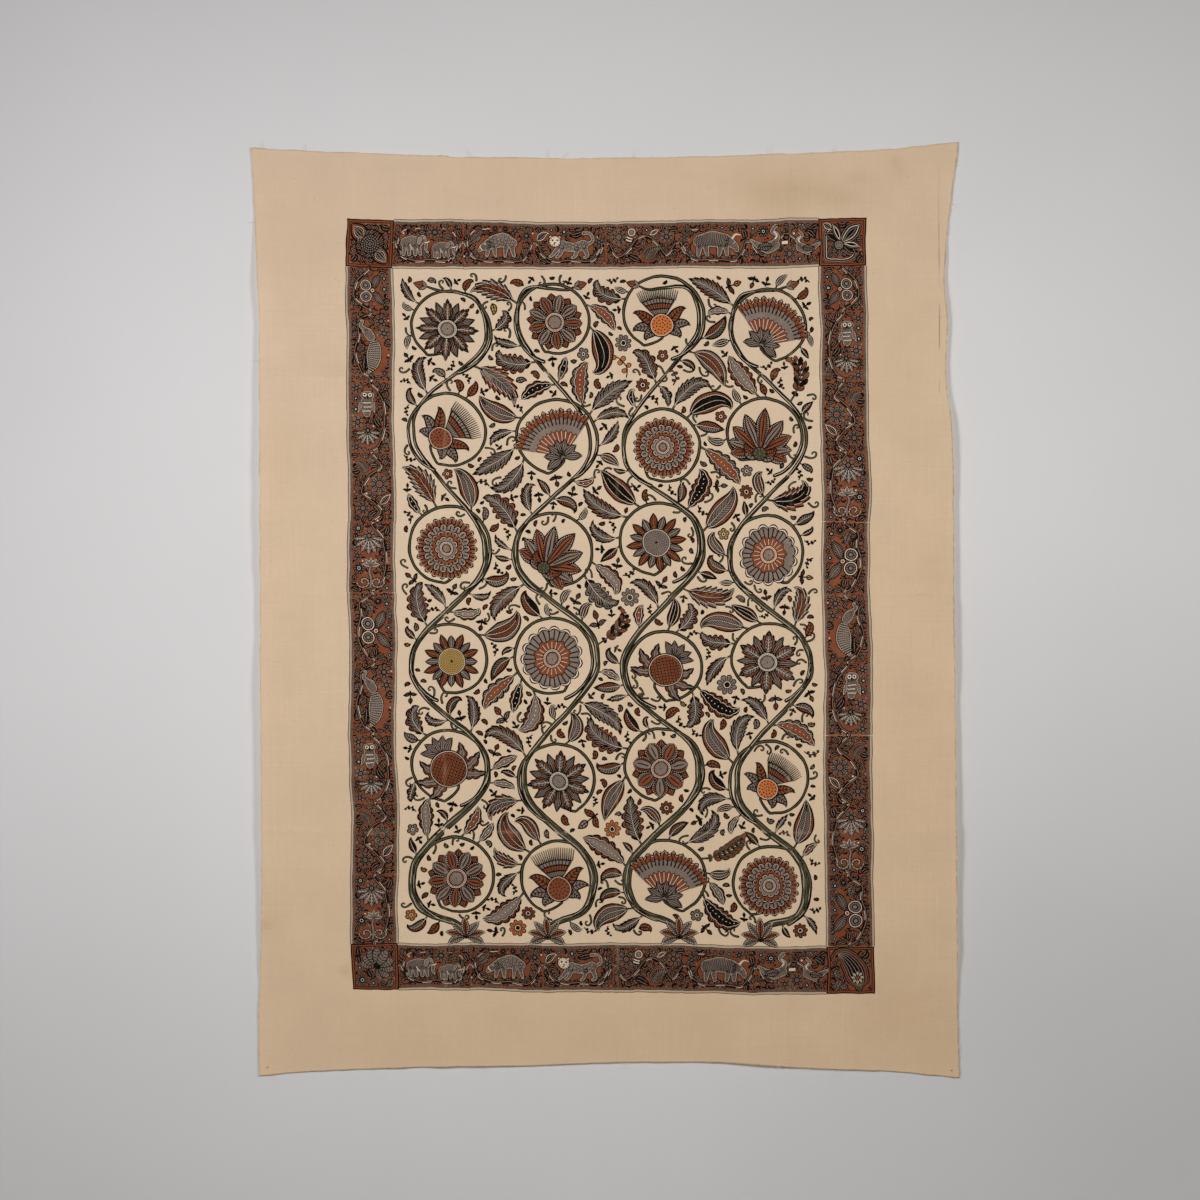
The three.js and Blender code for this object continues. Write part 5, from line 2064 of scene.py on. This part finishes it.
# Stains and soiling: x, z, radius, stretch across, strength.
STAINS = [
    (330, -52, 26, 2.6, 0.10),
    (400, -70, 20, 2.0, 0.09),
    (268, -60, 30, 2.2, 0.07),
    (494, -6, 11, 0.9, 0.09),
    (503, -22, 10, 0.7, 0.07),
    (431, -34, 11, 2.0, 0.08),
    (300, -95, 22, 2.4, 0.06),
    (-577, -1302, 9, 1.0, 0.14),
    (-441, -1380, 10, 1.0, 0.12),
    (-560, -1290, 40, 0.6, 0.05),
    (500, -1450, 60, 1.4, 0.05),
    (-300, -1500, 70, 2.2, 0.04),
    (90, -1480, 60, 2.0, 0.035),
    (560, -700, 50, 0.5, 0.04),
    (-540, -500, 55, 0.6, 0.035),
    (540, -800, 420, 0.3, 0.026),
    (-570, -720, 420, 0.2, 0.016),
    (-540, -50, 130, 1.1, 0.022),
    (540, -1490, 160, 1.3, 0.026),
]
# How much of its strength a stain takes from red, green and blue.
STAIN_TINT = np.array([0.7, 1.0, 1.35])
# Tone at the corners of the cloth and inside the print, as shares of red, green and blue.
CORNER_TONES = dict(
    top_left=(0.985, 0.970, 0.962),
    top_right=(0.985, 0.966, 0.93),
    bottom_left=(0.965, 0.932, 0.868),
    bottom_right=(0.95, 0.905, 0.825),
)
FIELD_TONE = (1.03, 1.055, 1.085)
FIELD_MIDDLE = (8, -759)
# The margins by their edges, in the order of edge_distances: how much paler, and how far in.
PALE_MARGINS = [(0.05, 34), (0.02, 8), (0.02, 9), (0.03, 9)]
# The map of what is printed: its cell, its left and top, and its width and height.
COVER_CELL = 6.0
COVER_LEFT, COVER_TOP = -650, 50
COVER_SIZE = (1300, 1700)
# The back: what the print takes from it, and its own tone.
GHOST_TINT = np.array([0.30, 0.34, 0.36])
BACK_TONE = np.array([0.985, 0.99, 1.0])


def drawn_cover(pots, x, z):
    """How much of the cloth round each grid place is printed dark, blurred."""
    wide = np.zeros((int(COVER_SIZE[1] / COVER_CELL), int(COVER_SIZE[0] / COVER_CELL)))

    def cells(x, z):
        row, column = ((COVER_TOP - z) / COVER_CELL).astype(int), ((x - COVER_LEFT) / COVER_CELL).astype(int)
        return np.clip(row, 0, wide.shape[0] - 1), np.clip(column, 0, wide.shape[1] - 1)

    for dye in (DARK, RUST, GREY):
        corners = print_to_cloth(np.concatenate(pots[dye].points))[np.concatenate(pots[dye].faces)]
        area = np.abs(face_areas(corners)) * (0.7 if dye == DARK else 0.3)
        np.add.at(wide, cells(*corners.mean(1).T), area)
    for _ in range(2):
        wide[1:-1] = (wide[:-2] + 2 * wide[1:-1] + wide[2:]) / 4
        wide[:, 1:-1] = (wide[:, :-2] + 2 * wide[:, 1:-1] + wide[:, 2:]) / 4
    return np.clip(wide[cells(x, z)] / COVER_CELL**2, 0, 1)


def sheet_tones(x, z):
    """Colour shares of the face at the grid places."""
    s = smoothstep(x, -600, 600)[..., None]
    t = smoothstep(-z, 0, 1560)[..., None]
    corner = {k: np.array(v) for k, v in CORNER_TONES.items()}
    tone = (corner["top_left"] * (1 - s) + corner["top_right"] * s) * (1 - t)
    tone = tone + (corner["bottom_left"] * (1 - s) + corner["bottom_right"] * s) * t
    inside = smoothstep(FIELD_HALF_WIDTH + 45 - np.abs(x - FIELD_MIDDLE[0]), 0, 50)
    inside = inside * smoothstep(FIELD_HALF_HEIGHT + 45 - np.abs(z - FIELD_MIDDLE[1]), 0, 50)
    tone = tone * (1 + (np.array(FIELD_TONE) - 1) * inside[..., None])
    margins = zip(edge_distances(x, z), PALE_MARGINS)
    pale = sum(more * np.exp(-np.maximum(away, 0) / reach) for away, (more, reach) in margins)
    tone = tone * (1 + pale[..., None])
    for stain_x, stain_z, radius, stretch, strength in STAINS:
        away = np.hypot((x - stain_x) / stretch, z - stain_z) / radius
        tone = tone * (1 - strength * np.exp(-(away**2))[..., None] * STAIN_TINT)
    return tone


def sheet_faces(rows, columns):
    """Triangles of the face, the back and the raw edge between them, and the points round the face."""
    count = rows * columns
    grid = grid_faces(rows, columns)
    rim = np.concatenate([
        np.arange(columns),
        np.arange(1, rows) * columns + columns - 1,
        (rows - 1) * columns + np.arange(columns - 2, -1, -1),
        np.arange(rows - 2, 0, -1) * columns,
    ])
    after = np.roll(rim, -1)
    outer, inner = np.stack([rim, after, after + count], 1), np.stack([rim, after + count, rim + count], 1)
    return np.concatenate([grid[:, ::-1], grid + count, outer, inner]), rim


def mark_sharp(mesh, rim, count):
    """Marks the two edges of the rim as sharp."""
    on_rim = np.zeros(2 * count, bool)
    on_rim[rim] = on_rim[rim + count] = True
    ends = np.zeros(2 * len(mesh.edges), np.int32)
    mesh.edges.foreach_get("vertices", ends)
    ends = ends.reshape(-1, 2)
    same_side = (ends[:, 0] < count) == (ends[:, 1] < count)
    sharp = on_rim[ends].all(1) & same_side
    mesh.attributes.new("sharp_edge", "BOOLEAN", "EDGE").data.foreach_set("value", sharp)


def cloth_sheet(material):
    """The cloth, with its tones as a colour for each point."""
    x, z = sheet_grid()
    rows, columns = x.shape
    rng = np.random.default_rng(19)
    edges = {"left": np.s_[:, 0], "right": np.s_[:, -1], "top": np.s_[0], "bottom": np.s_[-1]}

    def waver(count):
        rough = rng.normal(0, 1, count + 8)
        soft = np.convolve(rough, np.ones(5) / 5, "same")
        moved = (rough * 0.45 + soft * 1.6)[4:-4] * RAW_EDGE_WAVER * 0.7
        return np.clip(moved, -MOST_WAVER, MOST_WAVER)

    for name, edge in edges.items():
        (x if name in ("left", "right") else z)[edge] += waver(len(x[edge]))
    lift = lift_at(x, z).ravel()
    stand_off = (FACE_STANDS_OFF, BACK_STANDS_OFF)
    sides = [np.column_stack([x.ravel(), -(lift + off), z.ravel()]) for off in stand_off]
    faces, rim = sheet_faces(rows, columns)
    made = mesh_object("cloth_sheet", np.concatenate(sides) * MM, faces, material)
    mark_sharp(made.data, rim, x.size)
    tone = sheet_tones(x, z)
    # Painted shade, with some soiling, on the outermost strip of each raw edge.
    for name, edge in edges.items():
        tone[edge] *= rng.uniform(*RIM_SHADE_AND_SOIL[name], (len(x[edge]), 1))
    tone = tone.reshape(-1, 3)
    ghost = drawn_cover(all_pots, x, z).reshape(-1, 1)
    colours = np.concatenate([tone, tone * (1 - ghost * GHOST_TINT) * BACK_TONE])
    colours = np.column_stack([colours, np.ones(len(colours))]).astype(np.float32)
    layer = made.data.color_attributes.new("tone", "FLOAT_COLOR", "POINT")
    layer.data.foreach_set("color", colours.ravel())
    planar_map(made, SHEET_MAP, backs=x.size)
    print(f"cloth_sheet: {len(made.data.polygons)} triangles")
    return made


# Loose ends of thread along the raw edges.

# Each edge: its name, how many ends, their least and greatest length.
FRAYED_EDGES = [
    ("top", 380, 0.9, 4.0),
    ("bottom", 420, 0.9, 4.6),
    ("left", 400, 0.8, 3.4),
    ("right", 1150, 2.2, 7.0),
]
# A few ends are longer than the rest: their share and their lengths.
STRAY_SHARE = 0.015
STRAY_LENGTHS = (9, 20)
THREAD_HALF_WIDTH = 0.32
THREAD_ROOT = 1.4
THREAD_SIDES = 3


def edge_place(name, t):
    """Points on one edge, and the way out from it."""
    if name in ("left", "right"):
        drop = t * CORNER_TO_CORNER_DROP
        x = read_table(SIDE_EDGES, "drop", name, drop)
        z = TOP_CORNERS_ABOVE_ORIGIN - drop
        return x, z, np.stack([np.full_like(t, -1.0 if name == "left" else 1.0), np.zeros_like(t)], 1)
    x = -600 + t * 1201
    z = read_table(LEVEL_EDGES, "across", name, x)
    return x, z, np.stack([np.zeros_like(t), np.full_like(t, 1.0 if name == "top" else -1.0)], 1)


def thread_rings(length, lean, bend, rise, x, z, lift, out):
    """Rings of points along one loose end."""
    rings = 4 if length < 8 else 8
    s = np.linspace(0, 1, rings)
    turn = (lean + bend * s)[:, None]
    way = out * np.cos(turn) + np.array([-out[1], out[0]]) * np.sin(turn)
    run = np.cumsum(way * length / rings, 0) - out * THREAD_ROOT
    spine = np.column_stack([x + run[:, 0], -(lift + rise * s * length * 0.3), z + run[:, 1]])
    half = THREAD_HALF_WIDTH * (1 - 0.4 * s)[:, None, None]
    round_it = (np.arange(THREAD_SIDES) * TAU / THREAD_SIDES)[None, :, None]
    across = np.column_stack([-way[:, 1], np.zeros(rings), way[:, 0]])[:, None]
    return spine[:, None] + half * (across * np.cos(round_it) + np.array([0.0, 1.0, 0.0]) * np.sin(round_it))


@functools.cache
def tube_faces(rings):
    """Triangles of a closed tube of so many rings."""
    faces = []
    for step in range(rings - 1):
        for side in range(THREAD_SIDES):
            a = step * THREAD_SIDES + side
            b = step * THREAD_SIDES + (side + 1) % THREAD_SIDES
            faces += [(a, b, b + THREAD_SIDES), (a, b + THREAD_SIDES, a + THREAD_SIDES)]
    end = (rings - 1) * THREAD_SIDES
    return np.array(faces + [(0, 2, 1), (end, end + 1, end + 2)])


def frayed_threads(material):
    """Short bent ends of thread, with a long stray one here and there."""
    rng = np.random.default_rng(23)
    points, faces = [], []
    first = 0
    for name, count, short, long in FRAYED_EDGES:
        x, z, out = edge_place(name, np.sort(rng.uniform(0.003, 0.997, count)))
        length = short + (long - short) * rng.random(count) ** 2.6
        stray = rng.random(count) < STRAY_SHARE
        length[stray] = rng.uniform(*STRAY_LENGTHS, stray.sum())
        lean, bend = rng.normal(0, 0.45, count), rng.normal(0, 0.7, count)
        lift = np.maximum(lift_at(x, z), 0.4) + 0.6
        rise = rng.uniform(-0.1, 0.5, count)
        for thread in zip(length, lean, bend, rise, x, z, lift, out):
            tube = thread_rings(*thread)
            points.append(tube.reshape(-1, 3))
            faces.append(tube_faces(len(tube)) + first)
            first += len(points[-1])
    made = mesh_object("frayed_threads", np.concatenate(points) * MM, np.concatenate(faces), material)
    print(f"frayed_threads: {sum(map(len, faces))} triangles")
    return made


all_pots = {}
for part_pots in (field_pots, border_pots):
    Pen(all_pots).stamp(part_pots)

cloth = cloth_sheet(cotton_material())
threads = frayed_threads(thread_material())
films = []
for part, part_pots in (("field", field_pots), ("border", border_pots)):
    for dye, pot in part_pots.items():
        films.append(film(f"{part}_{dye}", pot, dye_material(part, dye)))

for piece in [cloth, threads, *films]:
    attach(piece, "root")
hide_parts("cloth")


# The wall, floor, lamps and camera, which aren't part of the object. The wall is seen from the front only.

AIM = Vector((-0.00765, 0.0, -0.7514))
WALL_COLOUR = (0.765, 0.76, 0.755, 1.0)
WALL_BEHIND = 0.002
FLOOR_COLOUR = (0.72, 0.71, 0.70, 1.0)
FLOOR_HEIGHT = -2.2
SKY_COLOUR = (0.95, 0.97, 1.0, 1.0)
SKY_STRENGTH = 0.092
# Painted shade on the wall: a falloff away from the middle and a soft shadow at the lower right. Each: its
# middle, from how far to how far it runs, and how dark each end is.
WALL_PAINTED_SHADE = [
    ((AIM.x, 0.0, AIM.z + 0.15), 0.75, 1.45, 1.0, 0.885),
    ((0.78, 0.0, -1.36), 0.1, 0.72, 0.88, 1.0),
]
PHOTO_WIDTH_AT_WALL = 2.04
CAMERA_AWAY = 3.6
SENSOR_WIDTH = 36.0


def wall_material():
    nodes = Nodes("wall_paint")
    shade = nodes.band(nodes.noise(1.6, 3.0), 0.3, 0.7, 0.975, 1.02)
    # Painted shade: a falloff away from the middle and a soft shadow at the lower right.
    for middle, *levels in WALL_PAINTED_SHADE:
        shade = nodes.times(shade, nodes.band(nodes.far_from(middle), *levels))
    front = nodes.paint(nodes.shaded(WALL_COLOUR, shade), 0.85, 0.2).outputs["BSDF"]
    behind = nodes.add("ShaderNodeNewGeometry").outputs["Backfacing"]
    clear = nodes.add("ShaderNodeBsdfTransparent").outputs["BSDF"]
    nodes.feed(nodes.out.inputs["Surface"], nodes.fed("ShaderNodeMixShader", behind, front, clear))
    return nodes.material


def floor_material():
    nodes = Nodes("pale_floor")
    nodes.feed(nodes.out.inputs["Surface"], nodes.paint(FLOOR_COLOUR, 0.8).outputs["BSDF"])
    return nodes.material


def flat_piece(name, corners, material):
    """One flat four-sided piece of the stage."""
    return mesh_object(name, corners, [(0, 1, 2, 3)], material, smooth=False)


def lamp(name, place, aim, size, watts, colour, spread):
    data = bpy.data.lights.new(name, "AREA")
    data.shape = "RECTANGLE"
    data.size, data.size_y = size
    data.energy = watts
    data.spread = math.radians(spread)
    data.color = colour
    made = bpy.data.objects.new(name, data)
    made.location = place
    made.rotation_euler = (Vector(aim) - Vector(place)).to_track_quat("-Z", "Y").to_euler()
    bpy.context.scene.collection.objects.link(made)
    return made


corners = ((-4.0, FLOOR_HEIGHT), (4.0, FLOOR_HEIGHT), (4.0, 2.0), (-4.0, 2.0))
wall = flat_piece("wall", [(x, WALL_BEHIND, z) for x, z in corners], wall_material())
wall.visible_shadow = False
corners = ((-6.0, -8.0), (6.0, -8.0), (6.0, 6.0), (-6.0, 6.0))
ground_plane = flat_piece("ground", [(x, y, FLOOR_HEIGHT) for x, y in corners], floor_material())

world = bpy.data.worlds.new("studio")
bpy.context.scene.world = world
world.use_nodes = True
world.node_tree.nodes["Background"].inputs["Color"].default_value = SKY_COLOUR
world.node_tree.nodes["Background"].inputs["Strength"].default_value = SKY_STRENGTH
lamps = [
    lamp("left_window", (-1.68, -2.45, -0.4), (-0.12, 0, -0.56), (0.6, 0.9), 20.0, (1.0, 0.99, 1.0), 122),
    lamp("right_window", (2.0, -2.4, -0.4), (0.12, 0, -0.56), (0.8, 0.9), 17.4, (1.0, 0.972, 0.952), 122),
    lamp("from_behind", (0.6, 4.5, 0.8), AIM, (2.5, 2.5), 70, (1.0, 1.0, 1.0), 180),
]

camera_data = bpy.data.cameras.new("camera")
camera_data.sensor_width = SENSOR_WIDTH
camera_data.lens = SENSOR_WIDTH * CAMERA_AWAY / PHOTO_WIDTH_AT_WALL
camera = bpy.data.objects.new("camera", camera_data)
camera.location = (AIM.x, -CAMERA_AWAY, AIM.z)
camera.rotation_euler = (math.pi / 2, 0, 0)
bpy.context.scene.collection.objects.link(camera)
bpy.context.scene.camera = camera
bpy.context.scene.view_settings.view_transform = "Standard"
